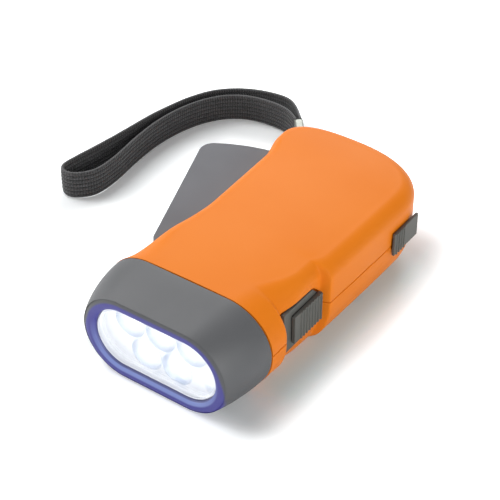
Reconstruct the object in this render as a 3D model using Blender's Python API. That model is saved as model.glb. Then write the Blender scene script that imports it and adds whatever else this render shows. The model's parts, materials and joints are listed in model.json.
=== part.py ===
"""Squeeze-lever dynamo flashlight, modelled in metres.

+X is the side with the two thumb sliders, -Y the lamp end, +Y the tail and +Z the top.
The origin is the middle of the flat underside. The lever stands open, as its spring leaves it.
Names that end in FROM_FRONT are distances along +Y from the front rim of the head.
"""

import bpy
import bmesh
from math import acos, asin, atan2, cos, pi, radians, sin, sqrt, tan
from mathutils import Vector

# Fits and walls
GAP = 0.0003
BORE_CLEARANCE = 0.0002
OVERRUN = 0.0010
WALL = 0.0018
THIN_WALL = 0.0013

# Housing
BODY_LENGTH = 0.0996
BODY_HEIGHT = 0.0284
HALF_WIDTH = 0.0278
PARTING_HEIGHT = 0.0152
SEAM_FROM_FRONT = 0.0162
SEAM_HALF_WIDTH = 0.0266
HEAD_SIDE_RADIUS = 0.0140
HEAD_BLEND_LENGTH = 0.0200
TOP_FILLET_WIDTH = 0.0048
TOP_FILLET_DROP = 0.0046
TOP_CROWN = 0.0008
HEAD_CROWN = 0.00015
UNDERSIDE_INSET = 0.0080
WAIST_HALF_WIDTH = 0.0179
WAIST_FROM_FRONT = 0.0500
SHOULDER_LEAN = 0.0014
SHOULDER_STEP = 0.0021
SHOULDER_LENGTH = 0.0110
SHOULDER_FROM_TAIL = 0.0226
RIGHT_TAIL_LENGTH = 0.0196
LEFT_TAIL_LENGTH = 0.0096

# Thumb hollow for the lamp switch
HOLLOW_FROM_FRONT = 0.0224
HOLLOW_LENGTH = 0.0190
HOLLOW_DEPTH = 0.0027
HOLLOW_FRONT_EDGE = 0.0020
HOLLOW_REAR_EDGE = 0.0014
HOLLOW_TOP_PULL = 0.0020
HOLLOW_TOP_REACH = 0.0040

# Head cap, lens and lamps
RIM_HALF_WIDTH = 0.0228
RIM_HALF_HEIGHT = 0.0126
RIM_CENTRE_HEIGHT = 0.0133
RIM_ROUNDING = 0.0010
LIP_WIDTH = 0.0018
LIP_DEPTH = 0.0014
LENS_HALF_WIDTH = 0.0193
LENS_HALF_HEIGHT = 0.0091
LENS_RECESS = 0.0010
LENS_THICKNESS = 0.0026
LENS_FLANGE_WIDTH = 0.0016
LENS_FLANGE_THICKNESS = 0.0007
LENS_CHAMFER = 0.0003
REFLECTOR_DEPTH = 0.0080
CUP_PITCH = 0.0100
CUP_RADIUS = 0.0048
LED_RADIUS = 0.0025
LED_LENGTH = 0.0065
LED_FOOT_RADIUS = 0.0027
BOARD_THICKNESS = 0.0011
SPIGOT_LENGTH = 0.0022
SPIGOT_INSET = 0.0008

# Squeeze lever
PIVOT_X = -0.0145
PIVOT_FROM_FRONT = 0.0415
PIVOT_PIN_RADIUS = 0.0015
PIVOT_BOSS_RADIUS = 0.0034
PIVOT_SOCKET_DEPTH = 0.0024
LEVER_OPEN_ANGLE = radians(19.5)
LEVER_HUB_RADIUS = 0.0138
LEVER_END_FROM_TAIL = 0.0113
LEVER_INNER_REACH = 0.0128
LEVER_BOTTOM = 0.0086
LEVER_TOP = 0.0199
LEVER_WALL = 0.0018
LEVER_WEB = 0.0016
LEVER_CORNER_RADIUS = 0.0045
LEVER_EDGE_ROUNDING = 0.0007
LEVER_SLOT_CLEARANCE = 0.0004
LEVER_SWING_REACH = 0.0400
BARREL_RADIUS = 0.0042
CATCH_NOTCH_WIDTH = 0.0026
CATCH_NOTCH_DEPTH = 0.0052
CATCH_LUG_WIDTH = 0.0018

# Gear train
MODULE = 0.0008
BACKLASH = 0.00024
PRESSURE_ANGLE = radians(25)
ADDENDUM_SHARE = 0.80
DEDENDUM_SHARE = 1.05
SECTOR_TEETH = 60
SECTOR_CUT_TEETH = 6
PINION_TEETH = 10
IDLER_TEETH = 22
CLUTCH_TEETH = 16
FIRST_MESH_ANGLE = radians(40)
SECOND_MESH_ANGLE = radians(-60)
THIRD_MESH_ANGLE = radians(-110)
SECTOR_CLEARANCE = 0.0007
SECTOR_THICKNESS = 0.0030
GEAR_THICKNESS = 0.0025
GEAR_STEP = 0.0006
PINION_OVERLAP = 0.0002
AXLE_RADIUS = 0.0010
AXLE_BOSS_RADIUS = 0.0020
AXLE_SOCKET_DEPTH = 0.0020

# Generator
FLYWHEEL_RADIUS = 0.0080
FLYWHEEL_THICKNESS = 0.0020
FLYWHEEL_RIM_WIDTH = 0.0022
FLYWHEEL_DISH = 0.0006
SLEEVE_RADIUS = 0.0021
MAGNET_RADIUS = 0.0060
MAGNET_HEIGHT = 0.0044
MAGNET_BOTTOM = 0.0036
AIR_GAP = 0.0006
POLE_HALF_ANGLE = radians(25)
CORE_THICKNESS = 0.0020
CORE_HEIGHT = 0.0032
CORE_BRIDGE = 0.0028
CORE_ARM_REACH = 0.0036
CORE_POST_RADIUS = 0.0010
COIL_FROM_FRONT = 0.0261
COIL_HEIGHT = 0.0062
COIL_RADIUS = 0.0036
BOBBIN_RADIUS = 0.0039
BOBBIN_TUBE_RADIUS = 0.0027
BOBBIN_LENGTH = 0.0112
BOBBIN_FLANGE = 0.0008

# Return spring
SPRING_WIRE_RADIUS = 0.00032
SPRING_RADIUS = 0.0058
SPRING_PITCH = 0.00086
SPRING_TURNS = 3
SPRING_BOTTOM_CLEARANCE = 0.0010
SPRING_LEG_FORWARD = 0.0080
SPRING_POST_REACH = 0.0166
SPRING_POST_ANGLE = radians(-38)
SPRING_POST_RADIUS = 0.0010

# Lamp switch
SWITCH_PLATE_THICKNESS = 0.0011
SWITCH_PLATE_BOTTOM = 0.0084
SWITCH_PLATE_TOP = 0.0218
SWITCH_PLATE_CORNER = 0.0032
SWITCH_PAD_BORDER = 0.0010
SWITCH_KNOB_LENGTH = 0.0130
SWITCH_KNOB_HEIGHT = 0.0090
SWITCH_KNOB_THICKNESS = 0.0010
SWITCH_TRAVEL = 0.0020
SWITCH_STEM_WIDTH = 0.0030
SWITCH_STEM_HEIGHT = 0.0028
SWITCH_STEM_DEPTH = 0.0052
SWITCH_BLOCK_THICKNESS = 0.0026
SWITCH_BLOCK_LENGTH = 0.0086
SWITCH_BLOCK_HEIGHT = 0.0062
SWITCH_RIBS = 6
RIB_PITCH = 0.0013
RIB_WIDTH = 0.0006
RIB_DEPTH = 0.0003

# Lever lock
LOCK_FROM_TAIL = 0.0266
LOCK_LENGTH = 0.0128
LOCK_HEIGHT = 0.0074
LOCK_CENTRE_HEIGHT = 0.0160
LOCK_THICKNESS = 0.0008
LOCK_TRAVEL = 0.0040
LOCK_RIBS = 4
LOCK_STEM_FROM_TAIL = 0.0221
LOCK_STEM_LENGTH = 0.0044
LOCK_STEM_HEIGHT = 0.0030
LOCK_SLOT_REACH = 0.0046
LOCK_UPRIGHT_THICKNESS = 0.0018
LOCK_WALL_CLEARANCE = 0.0012
LOCK_ARM_CLEARANCE = 0.0013
LOCK_ARM_THICKNESS = 0.0020
LOCK_ARM_WIDTH = 0.0022
LOCK_ARM_ELBOW_X = 0.0140
LOCK_TIP_WIDTH = 0.0018
LOCK_TIP_CLEARANCE = 0.0012
LOCK_TIP_DROP = 0.0054

# Cells and contacts
CELL_RADIUS = 0.0058
CELL_THICKNESS = 0.0053
CELL_COUNT = 3
CELL_FROM_TAIL = 0.0206
CELL_FROM_SIDE = 0.0252
CELL_FLOOR_CLEARANCE = 0.0012
CELL_CAP_RADIUS = 0.0042
CELL_CAP_THICKNESS = 0.0004
CELL_EDGE = 0.0005
CONTACT_THICKNESS = 0.0004
CONTACT_WIDTH = 0.0070
CONTACT_HEIGHT = 0.0100
CRADLE_WALL = 0.0012
CRADLE_HEIGHT = 0.0090

# Shell screws
SCREW_RADIUS = 0.0010
SCREW_HEAD_RADIUS = 0.0020
SCREW_HEAD_THICKNESS = 0.0014
SCREW_RECESS_RADIUS = 0.0024
SCREW_RECESS_HEIGHT = 0.0060
SCREW_LENGTH = 0.0130
SCREW_BOSS_RADIUS = 0.0032
SCREW_TOP_BOSS_RADIUS = 0.0024
SCREW_CROSS_REACH = 0.0012
SCREW_CROSS_WIDTH = 0.0005
SCREW_CROSS_DEPTH = 0.0006
HEAD_SCREW_X = -0.0125
HEAD_SCREW_FROM_FRONT = 0.0228
SIDE_SCREW_X = 0.0208
SIDE_SCREW_FROM_FRONT = 0.0640
TAIL_SCREW_X = 0.0030
TAIL_SCREW_FROM_TAIL = 0.0058

# Wrist strap
POST_X = -0.0135
POST_FROM_TAIL = 0.0076
POST_RADIUS = 0.0013
LOOP_CORD_RADIUS = 0.00065
LOOP_WRAP_RADIUS = 0.0023
LOOP_HEIGHT = 0.0095
LOOP_SPREAD = 0.0009
STRAP_WINDOW_WIDTH = 0.0076
STRAP_WINDOW_HEIGHT = 0.0060
STRAP_WINDOW_REACH = 0.0140
FERRULE_LENGTH = 0.0080
FERRULE_HEIGHT = 0.0096
FERRULE_THICKNESS = 0.0028
FERRULE_ROUNDING = 0.0005
FERRULE_X = -0.0318
FERRULE_FROM_FRONT = 0.1165
FERRULE_HEADING = radians(129)
STRAP_WIDTH = 0.0096
STRAP_THICKNESS = 0.0012
STRAP_FLOOR_CLEARANCE = 0.0003
STRAP_STEP = 0.0026

# The strap's route on its edge, as (x, distance from the front rim), near layer first
STRAP_ROUTE = [
    (-0.0412, 0.1226), (-0.0490, 0.1230), (-0.0558, 0.1215), (-0.0612, 0.1182),
    (-0.0653, 0.1132), (-0.0682, 0.1070), (-0.0702, 0.0992), (-0.0710, 0.0904),
    (-0.0705, 0.0800), (-0.0693, 0.0690), (-0.0697, 0.0605), (-0.0727, 0.0558),
    (-0.0765, 0.0541), (-0.0796, 0.0562), (-0.0792, 0.0622), (-0.0779, 0.0700),
    (-0.0768, 0.0777), (-0.0758, 0.0860), (-0.0748, 0.0944), (-0.0732, 0.1022),
    (-0.0711, 0.1096), (-0.0678, 0.1166), (-0.0634, 0.1216), (-0.0580, 0.1252),
    (-0.0520, 0.1274), (-0.0452, 0.1282), (-0.0402, 0.1262),
]

# Stations that follow the tail and the slider side
SHOULDER_FROM_FRONT = BODY_LENGTH - SHOULDER_FROM_TAIL
RIGHT_TAIL_FROM_FRONT = BODY_LENGTH - RIGHT_TAIL_LENGTH
LEFT_TAIL_FROM_FRONT = BODY_LENGTH - LEFT_TAIL_LENGTH
LEVER_END_RADIUS = BODY_LENGTH - LEVER_END_FROM_TAIL - PIVOT_FROM_FRONT
LOCK_FROM_FRONT = BODY_LENGTH - LOCK_FROM_TAIL
LOCK_STEM_FROM_FRONT = BODY_LENGTH - LOCK_STEM_FROM_TAIL
CELL_FROM_FRONT = BODY_LENGTH - CELL_FROM_TAIL
CELL_START_X = HALF_WIDTH - CELL_FROM_SIDE
TAIL_SCREW_FROM_FRONT = BODY_LENGTH - TAIL_SCREW_FROM_TAIL
POST_FROM_FRONT = BODY_LENGTH - POST_FROM_TAIL

# Shape powers and shares, chosen by eye
FLARE_POWER = 1.8
RIGHT_TAIL_POWER = 2.2
LEFT_TAIL_POWER = 2.5
UNDERSIDE_POWER = 2.0
ROUND_POWER = 2.0
CAP_BULGE_POWER = 0.75
CROWN_SHARES = (0.40, 0.85)
CAP_SHARES = (1, 0.85, 0.68, 0.5, 0.35, 0.22, 0.13)

# How finely curves are cut
QUARTER_STEPS = 5
CAP_QUARTER_STEPS = 7
ROUND_SEGMENTS = 24
MIDDLE_SEGMENTS = 18
SMALL_SEGMENTS = 12
SPRING_STEPS = 14

# Colours and finishes: colour, roughness, metallic
ORANGE_PLASTIC = ((0.90, 0.27, 0.04), 0.45, 0.0)
GREY_PLASTIC = ((0.15, 0.155, 0.15), 0.50, 0.0)
LEVER_PLASTIC = ((0.21, 0.21, 0.215), 0.50, 0.0)
CLEAR_PLASTIC = ((0.90, 0.93, 1.00), 0.10, 0.0)
MIRROR_PLATING = ((0.85, 0.86, 0.88), 0.12, 1.0)
LAMP_RESIN = ((0.95, 0.97, 1.00), 0.15, 0.0)
BOARD_RESIN = ((0.05, 0.22, 0.09), 0.45, 0.0)
WHITE_NYLON = ((0.80, 0.80, 0.77), 0.50, 0.0)
BLACK_PLASTIC = ((0.03, 0.03, 0.03), 0.50, 0.0)
BRIGHT_STEEL = ((0.62, 0.62, 0.63), 0.28, 1.0)
DARK_STEEL = ((0.20, 0.20, 0.21), 0.45, 1.0)
FERRITE = ((0.07, 0.07, 0.075), 0.60, 0.0)
COPPER = ((0.72, 0.32, 0.16), 0.35, 1.0)
NICKEL = ((0.66, 0.65, 0.62), 0.25, 1.0)
BLACK_WEBBING = ((0.025, 0.025, 0.027), 0.85, 0.0)


# Small helpers


def along(from_front):
    """The Y of a distance measured from the front rim."""
    return from_front - BODY_LENGTH / 2


def smooth(share):
    """A soft step from 0 to 1."""
    share = min(max(share, 0), 1)
    return share * share * (3 - 2 * share)


def mix(start, end, share):
    return start + (end - start) * share


def spread(start, end, count):
    """Evenly spaced values, the last one left out."""
    return [mix(start, end, step / count) for step in range(count)]


def polar(centre, radius, angle):
    return Vector((centre[0] + radius * cos(angle), centre[1] + radius * sin(angle)))


def finish_material(name, finish):
    colour, roughness, metallic = finish
    material = bpy.data.materials.new(name)
    material.use_nodes = True
    shader = material.node_tree.nodes["Principled BSDF"]
    shader.inputs["Base Color"].default_value = (*colour, 1)
    shader.inputs["Roughness"].default_value = roughness
    shader.inputs["Metallic"].default_value = metallic
    material.diffuse_color = (*colour, 1)
    return material


def add_object(name, builder, finish, origin=(0, 0, 0)):
    """Make a named object from a bmesh, with its origin where its joint or centre is."""
    bmesh.ops.translate(builder, verts=builder.verts, vec=-Vector(origin))
    bmesh.ops.recalc_face_normals(builder, faces=builder.faces)
    mesh = bpy.data.meshes.new(name)
    builder.to_mesh(mesh)
    builder.free()
    mesh.shade_smooth()
    mesh.set_sharp_from_angle(angle=radians(35))
    mesh.materials.append(finish_material(name, finish))
    part = bpy.data.objects.new(name, mesh)
    part.location = origin
    bpy.context.scene.collection.objects.link(part)
    return part


def add_guide(name, builder):
    """A hidden solid that only shapes others."""
    guide = add_object(name, builder, WHITE_NYLON)
    guide.hide_render = True
    guide.display_type = "WIRE"
    return guide


def add_boolean(part, operation, tool, label):
    modifier = part.modifiers.new(label, "BOOLEAN")
    modifier.operation = operation
    modifier.solver = "EXACT"
    modifier.object = tool


def cut(part, builder, label):
    add_boolean(part, "DIFFERENCE", add_guide(part.name + "_" + label, builder), label)


def join(part, builder, label, inside=None):
    """Join a solid to a part, trimmed first to lie inside a guide when one is given."""
    tool = add_guide(part.name + "_" + label, builder)
    if inside:
        add_boolean(tool, "INTERSECT", inside, "trim")
    add_boolean(part, "UNION", tool, label)


def loft(rings, closed=False):
    """Skin a run of rings with equal point counts, with flat ends unless it closes on itself."""
    builder = bmesh.new()
    loops = [[builder.verts.new(point) for point in ring] for ring in rings]
    pairs = list(zip(loops, loops[1:]))
    if closed:
        pairs.append((loops[-1], loops[0]))
    else:
        builder.faces.new(loops[0])
        builder.faces.new(loops[-1])
    for low, high in pairs:
        for index in range(len(low)):
            following = (index + 1) % len(low)
            builder.faces.new((low[index], low[following], high[following], high[index]))
    return builder


def prism(outline, bottom, top, rounding=0):
    """An upright prism on a plan outline; a rounding softens its upper and lower edges."""
    builder = loft([[(x, y, bottom) for x, y in outline], [(x, y, top) for x, y in outline]])
    bmesh.ops.recalc_face_normals(builder, faces=builder.faces)
    if rounding:
        level = [edge for edge in builder.edges if edge.verts[0].co.z == edge.verts[1].co.z]
        bmesh.ops.bevel(
            builder, geom=level, offset=rounding, offset_type="OFFSET", affect="EDGES",
            segments=2, profile=0.5, material=-1, clamp_overlap=True,
        )
    return builder


def prism_across(outline, left, right):
    """A prism along X on an outline of (y, z) points."""
    return loft([[(x, y, z) for y, z in outline] for x in (left, right)])


def box(low, high):
    outline = [(low[0], low[1]), (high[0], low[1]), (high[0], high[1]), (low[0], high[1])]
    return prism(outline, low[2], high[2])


def turned(profile, centre, axis="Z", segments=ROUND_SEGMENTS, closed=False):
    """A solid of revolution on (radius, height) pairs; closed makes a ring of a profile that loops."""
    rings = []
    for radius, height in profile:
        ring = []
        for step in range(segments):
            turn = 2 * pi * step / segments
            across, up = radius * cos(turn), radius * sin(turn)
            spot = {"Z": (across, up, height), "Y": (up, height, across), "X": (height, across, up)}
            ring.append(Vector(spot[axis]) + Vector(centre))
        rings.append(ring)
    return loft(rings, closed)


def cylinder(centre, radius, bottom, top, segments=SMALL_SEGMENTS):
    return turned([(radius, bottom), (radius, top)], (centre[0], centre[1], 0), "Z", segments)


def together(*builders):
    """One bmesh of several closed solids that stand apart, for one Boolean."""
    whole = bmesh.new()
    for builder in builders:
        mesh = bpy.data.meshes.new("together")
        builder.to_mesh(mesh)
        builder.free()
        whole.from_mesh(mesh)
        bpy.data.meshes.remove(mesh)
    bmesh.ops.recalc_face_normals(whole, faces=whole.faces)
    return whole


# The plan outline and the skins of the housing


def right_edge(from_front):
    """Half width on the slider side, without the thumb hollow."""
    share = (from_front - SEAM_FROM_FRONT) / (RIGHT_TAIL_FROM_FRONT - SEAM_FROM_FRONT)
    return mix(SEAM_HALF_WIDTH, HALF_WIDTH, smooth(share))


def left_edge(from_front):
    """Half width on the lever side: a flare to the head, a lean and a shoulder to the tail."""
    if from_front < WAIST_FROM_FRONT:
        share = (WAIST_FROM_FRONT - from_front) / (WAIST_FROM_FRONT - SEAM_FROM_FRONT)
        return mix(WAIST_HALF_WIDTH, SEAM_HALF_WIDTH, share ** FLARE_POWER)
    lean = (from_front - WAIST_FROM_FRONT) / (LEFT_TAIL_FROM_FRONT - WAIST_FROM_FRONT)
    step = smooth((from_front - SHOULDER_FROM_FRONT) / SHOULDER_LENGTH)
    return WAIST_HALF_WIDTH + SHOULDER_LEAN * lean + SHOULDER_STEP * step


def hollow(from_front, spare):
    """How far the thumb hollow is cut in, 0 to 1; spare widens it for the wall behind it."""
    start = HOLLOW_FROM_FRONT - spare
    end = HOLLOW_FROM_FRONT + HOLLOW_LENGTH + spare
    rise = smooth((from_front - start) / HOLLOW_FRONT_EDGE)
    return rise * (1 - smooth((from_front - end) / HOLLOW_REAR_EDGE))


def soft_hollow(from_front):
    """The hollow's softer reach into the top edge, 0 to 1."""
    start = HOLLOW_FROM_FRONT - HOLLOW_TOP_REACH
    end = HOLLOW_FROM_FRONT + HOLLOW_LENGTH
    rise = smooth((from_front - start) / (2 * HOLLOW_TOP_REACH))
    return rise * (1 - smooth((from_front - end) / HOLLOW_TOP_REACH))


def stations():
    """Places round the plan outline as (side, value), from the head's right round to its left."""
    front = HOLLOW_FROM_FRONT
    floor_start = front + HOLLOW_FRONT_EDGE
    floor_end = front + HOLLOW_LENGTH
    rear = floor_end + HOLLOW_REAR_EDGE
    runs = [
        (SEAM_FROM_FRONT, front, 2), (front, floor_start, 3), (floor_start, floor_end, 3),
        (floor_end, rear, 3), (rear, RIGHT_TAIL_FROM_FRONT, 4),
    ]
    places = [("right", value) for run in runs for value in spread(*run)]
    places += [("right tail", angle) for angle in spread(0, pi / 2, 9)]
    places += [("left tail", angle) for angle in spread(pi / 2, pi, 7)]
    places += [("left", value) for value in spread(LEFT_TAIL_FROM_FRONT, SEAM_FROM_FRONT, 12)]
    places.append(("left", SEAM_FROM_FRONT))
    return places


def outline_point(place, inset):
    """The point of the plan outline at a station, moved in by a wall."""
    side, value = place
    if side in ("right", "left"):
        from_front = max(value, SEAM_FROM_FRONT + inset)
        edge = right_edge(value) - inset if side == "right" else inset - left_edge(value)
        return Vector((edge, from_front))
    if side == "right tail":
        start, wide, power = RIGHT_TAIL_FROM_FRONT, HALF_WIDTH, RIGHT_TAIL_POWER
    else:
        start, wide, power = LEFT_TAIL_FROM_FRONT, left_edge(LEFT_TAIL_FROM_FRONT), LEFT_TAIL_POWER
    across = abs(cos(value)) ** (2 / power) * (wide - inset)
    back = abs(sin(value)) ** (2 / power) * (BODY_LENGTH - start - inset)
    return Vector((across if cos(value) > 0 else -across, start + back))


def spine_point(from_front):
    """The housing's middle line, which stops where the tail begins to round."""
    from_front = min(from_front, RIGHT_TAIL_FROM_FRONT)
    return Vector(((right_edge(from_front) - left_edge(from_front)) / 2, from_front))


def head_share(from_front):
    """1 at the head seam, where the section is a full round, to 0 behind the head."""
    return 1 - smooth((from_front - SEAM_FROM_FRONT) / HEAD_BLEND_LENGTH)


def skin_column(place, upper, wall):
    """The points up (or down) the housing at one station, from the parting plane to the flat."""
    outer = outline_point(place, 0)
    outer.y = max(outer.y, SEAM_FROM_FRONT + wall)
    edge = outline_point(place, wall)
    spine = spine_point(outer.y)
    head = head_share(outer.y)
    pull = 0
    if place[0] == "right":
        edge.x -= HOLLOW_DEPTH * hollow(place[1], wall)
        pull = HOLLOW_TOP_PULL * soft_hollow(place[1])
    if upper:
        start = PARTING_HEIGHT + GAP / 2
        shelf = BODY_HEIGHT - mix(TOP_CROWN, HEAD_CROWN, head)
        foot = max(shelf - mix(TOP_FILLET_DROP, BODY_HEIGHT - PARTING_HEIGHT, head), start + GAP)
        end = shelf - wall
        power = ROUND_POWER
        width = mix(TOP_FILLET_WIDTH, HEAD_SIDE_RADIUS, head) + pull
        column = [Vector((*edge, start)), Vector((*edge, mix(start, foot, 0.5)))]
    else:
        foot = PARTING_HEIGHT - GAP / 2
        end = wall
        power = mix(UNDERSIDE_POWER, ROUND_POWER, head)
        width = mix(UNDERSIDE_INSET, HEAD_SIDE_RADIUS, head)
        column = []
    flat = outer + (spine - outer).normalized() * width
    for step in range(QUARTER_STEPS + 1):
        turn = pi / 2 * step / QUARTER_STEPS
        across = 1 - max(cos(turn), 0) ** (2 / power) if step < QUARTER_STEPS else 1
        climb = sin(turn) ** (2 / power)
        column.append(Vector((*edge.lerp(flat, across), mix(foot, end, climb))))
    if upper:
        for share in CROWN_SHARES:
            rise = 1 - (1 - share / CROWN_SHARES[-1]) ** 2
            column.append(Vector((*flat.lerp(spine, share), mix(end, BODY_HEIGHT - wall, rise))))
    return column


def skin(upper, wall):
    """The rings of one half of the housing, a wall inside the outer face."""
    columns = [skin_column(place, upper, wall) for place in stations()]
    return [
        [Vector((column[level].x, along(column[level].y), column[level].z)) for column in columns]
        for level in range(len(columns[0]))
    ]


# Round-ended sections of the head


def stadium(from_front, half_width, low, middle, high, side_radius):
    """A section across the head: flat top and bottom with quarter-round sides."""
    points = []
    for side, level, falling in ((1, high, False), (-1, high, True), (-1, low, False), (1, low, True)):
        steps = list(range(CAP_QUARTER_STEPS + 1))
        if falling:
            steps = steps[:0:-1]
        for step in steps:
            turn = pi / 2 * step / CAP_QUARTER_STEPS
            x = side * (half_width - side_radius * (1 - cos(turn)))
            points.append(Vector((x, along(from_front), middle + (level - middle) * sin(turn))))
    return points


def lens_stadium(from_front, half_width, half_height):
    centre = RIM_CENTRE_HEIGHT
    return stadium(
        from_front, half_width, centre - half_height, centre, centre + half_height, half_height
    )


def cap_section(from_front, inset=0):
    """The outside of the head cap, bulging from the rim back to the seam."""
    share = from_front / SEAM_FROM_FRONT
    bulge = sin(share * pi / 2) ** CAP_BULGE_POWER
    half_width = mix(RIM_HALF_WIDTH, SEAM_HALF_WIDTH, bulge) - inset
    low = mix(RIM_CENTRE_HEIGHT - RIM_HALF_HEIGHT, 0, share) + inset
    high = mix(RIM_CENTRE_HEIGHT + RIM_HALF_HEIGHT, BODY_HEIGHT, bulge) - inset
    middle = mix(RIM_CENTRE_HEIGHT, PARTING_HEIGHT, bulge)
    radius = mix(RIM_HALF_HEIGHT, HEAD_SIDE_RADIUS, bulge) - inset
    return stadium(from_front, half_width, low, middle, high, radius)


# Depths in the head, each from the one before it
LENS_BACK = LENS_RECESS + LENS_THICKNESS
FLANGE_FRONT = LENS_BACK - LENS_FLANGE_THICKNESS
REFLECTOR_FRONT = LENS_BACK + GAP
REFLECTOR_BACK = REFLECTOR_FRONT + REFLECTOR_DEPTH
BOARD_FRONT = REFLECTOR_BACK + GAP
BOARD_BACK = BOARD_FRONT + BOARD_THICKNESS
POCKET_BACK = BOARD_BACK + GAP
POCKET_HALF_WIDTH = LENS_HALF_WIDTH + LENS_FLANGE_WIDTH + GAP
POCKET_HALF_HEIGHT = LENS_HALF_HEIGHT + LENS_FLANGE_WIDTH + GAP
SPIGOT_HALF_WIDTH = POCKET_HALF_WIDTH - SPIGOT_INSET
SPIGOT_HALF_HEIGHT = POCKET_HALF_HEIGHT - SPIGOT_INSET


def make_head_cap():
    rear = SEAM_FROM_FRONT - GAP
    opening = (LENS_HALF_WIDTH + GAP, LENS_HALF_HEIGHT + GAP)
    lip = (opening[0] + LIP_WIDTH, opening[1] + LIP_WIDTH)
    ledge = FLANGE_FRONT - GAP
    pocket = (POCKET_HALF_WIDTH, POCKET_HALF_HEIGHT)
    spigot = (SPIGOT_HALF_WIDTH, SPIGOT_HALF_HEIGHT)
    mouth = (SPIGOT_HALF_WIDTH - THIN_WALL, SPIGOT_HALF_HEIGHT - THIN_WALL)
    rings = [cap_section(rear * share) for share in CAP_SHARES]
    for step in range(1, 4):
        turn = pi / 2 * step / 3
        rings.append(cap_section(RIM_ROUNDING * (1 - sin(turn)), RIM_ROUNDING * (1 - cos(turn))))
    rings.append(lens_stadium(0, *lip))
    for step in range(1, 3):
        turn = pi / 2 * step / 2
        half = [mix(lip[way], opening[way], sin(turn)) for way in (0, 1)]
        rings.append(lens_stadium(LIP_DEPTH * (1 - cos(turn)), *half))
    rings.append(lens_stadium(ledge, *opening))
    rings.append(lens_stadium(ledge, *pocket))
    rings.append(lens_stadium(POCKET_BACK, *pocket))
    rings.append(lens_stadium(POCKET_BACK, *mouth))
    rings.append(lens_stadium(rear + SPIGOT_LENGTH, *mouth))
    rings.append(lens_stadium(rear + SPIGOT_LENGTH, *spigot))
    rings.append(lens_stadium(rear, *spigot))
    add_object("head_cap", loft(rings, closed=True), GREY_PLASTIC)


def make_lens():
    flange = (LENS_HALF_WIDTH + LENS_FLANGE_WIDTH, LENS_HALF_HEIGHT + LENS_FLANGE_WIDTH)
    rings = [
        lens_stadium(LENS_RECESS, LENS_HALF_WIDTH - LENS_CHAMFER, LENS_HALF_HEIGHT - LENS_CHAMFER),
        lens_stadium(LENS_RECESS + LENS_CHAMFER, LENS_HALF_WIDTH, LENS_HALF_HEIGHT),
        lens_stadium(FLANGE_FRONT, LENS_HALF_WIDTH, LENS_HALF_HEIGHT),
        lens_stadium(FLANGE_FRONT, *flange),
        lens_stadium(LENS_BACK, *flange),
    ]
    add_object("lens", loft(rings), CLEAR_PLASTIC)


def cup_places():
    """Three cups in the upper row and two below, nested between them."""
    row_rise = CUP_PITCH * sqrt(3) / 4
    upper = [(CUP_PITCH * step, RIM_CENTRE_HEIGHT + row_rise) for step in (-1, 0, 1)]
    lower = [(CUP_PITCH * step / 2, RIM_CENTRE_HEIGHT - row_rise) for step in (-1, 1)]
    return upper + lower


def make_reflector():
    half = (POCKET_HALF_WIDTH - GAP, POCKET_HALF_HEIGHT - GAP)
    body = loft([lens_stadium(REFLECTOR_FRONT, *half), lens_stadium(REFLECTOR_BACK, *half)])
    reflector = add_object("reflector", body, MIRROR_PLATING)
    hole = LED_FOOT_RADIUS + GAP
    floor = REFLECTOR_BACK - OVERRUN
    cups = []
    for x, z in cup_places():
        profile = [(hole, along(REFLECTOR_BACK + OVERRUN)), (hole, along(floor))]
        for step in range(1, 5):
            depth = mix(floor, REFLECTOR_FRONT, step / 4)
            profile.append((mix(hole, CUP_RADIUS, sqrt(step / 4)), along(depth)))
        profile.append((CUP_RADIUS, along(REFLECTOR_FRONT - OVERRUN)))
        cups.append(turned(profile, (x, 0, z), "Y", MIDDLE_SEGMENTS))
    cut(reflector, together(*cups), "cups")


def make_leds():
    foot = BOARD_FRONT - GAP
    collar = foot - OVERRUN
    dome = foot - LED_LENGTH + LED_RADIUS
    for number, (x, z) in enumerate(cup_places()):
        profile = [(LED_FOOT_RADIUS, along(foot)), (LED_FOOT_RADIUS, along(collar))]
        profile += [(LED_RADIUS, along(collar)), (LED_RADIUS, along(dome))]
        for step in range(1, 3):
            turn = pi / 2 * step / 3
            profile.append((LED_RADIUS * cos(turn), along(dome - LED_RADIUS * sin(turn))))
        body = turned(profile, (x, 0, z), "Y", SMALL_SEGMENTS)
        add_object("led_" + str(number + 1), body, LAMP_RESIN, (x, along(foot), z))


def make_led_board():
    half = (POCKET_HALF_WIDTH - GAP, POCKET_HALF_HEIGHT - GAP)
    body = loft([lens_stadium(BOARD_FRONT, *half), lens_stadium(BOARD_BACK, *half)])
    add_object("led_board", body, BOARD_RESIN)


# The lever, in its own directions: forward along it and out of it

PIVOT = Vector((PIVOT_X, along(PIVOT_FROM_FRONT)))
LEVER_ALONG = Vector((-sin(LEVER_OPEN_ANGLE), cos(LEVER_OPEN_ANGLE)))
LEVER_OUT = Vector((-cos(LEVER_OPEN_ANGLE), -sin(LEVER_OPEN_ANGLE)))
SECTOR_BOTTOM = LEVER_BOTTOM + LEVER_WEB + SECTOR_CLEARANCE
SECTOR_TOP = SECTOR_BOTTOM + SECTOR_THICKNESS

# The lock's heights, from the lever that it catches
LOCK_ARM_BOTTOM = LEVER_TOP + LOCK_ARM_CLEARANCE
LOCK_ARM_TOP = LOCK_ARM_BOTTOM + LOCK_ARM_THICKNESS
LOCK_TIP_BOTTOM = LOCK_ARM_BOTTOM - LOCK_TIP_DROP


def lever_point(forward, out):
    return PIVOT + LEVER_ALONG * forward + LEVER_OUT * out


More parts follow.
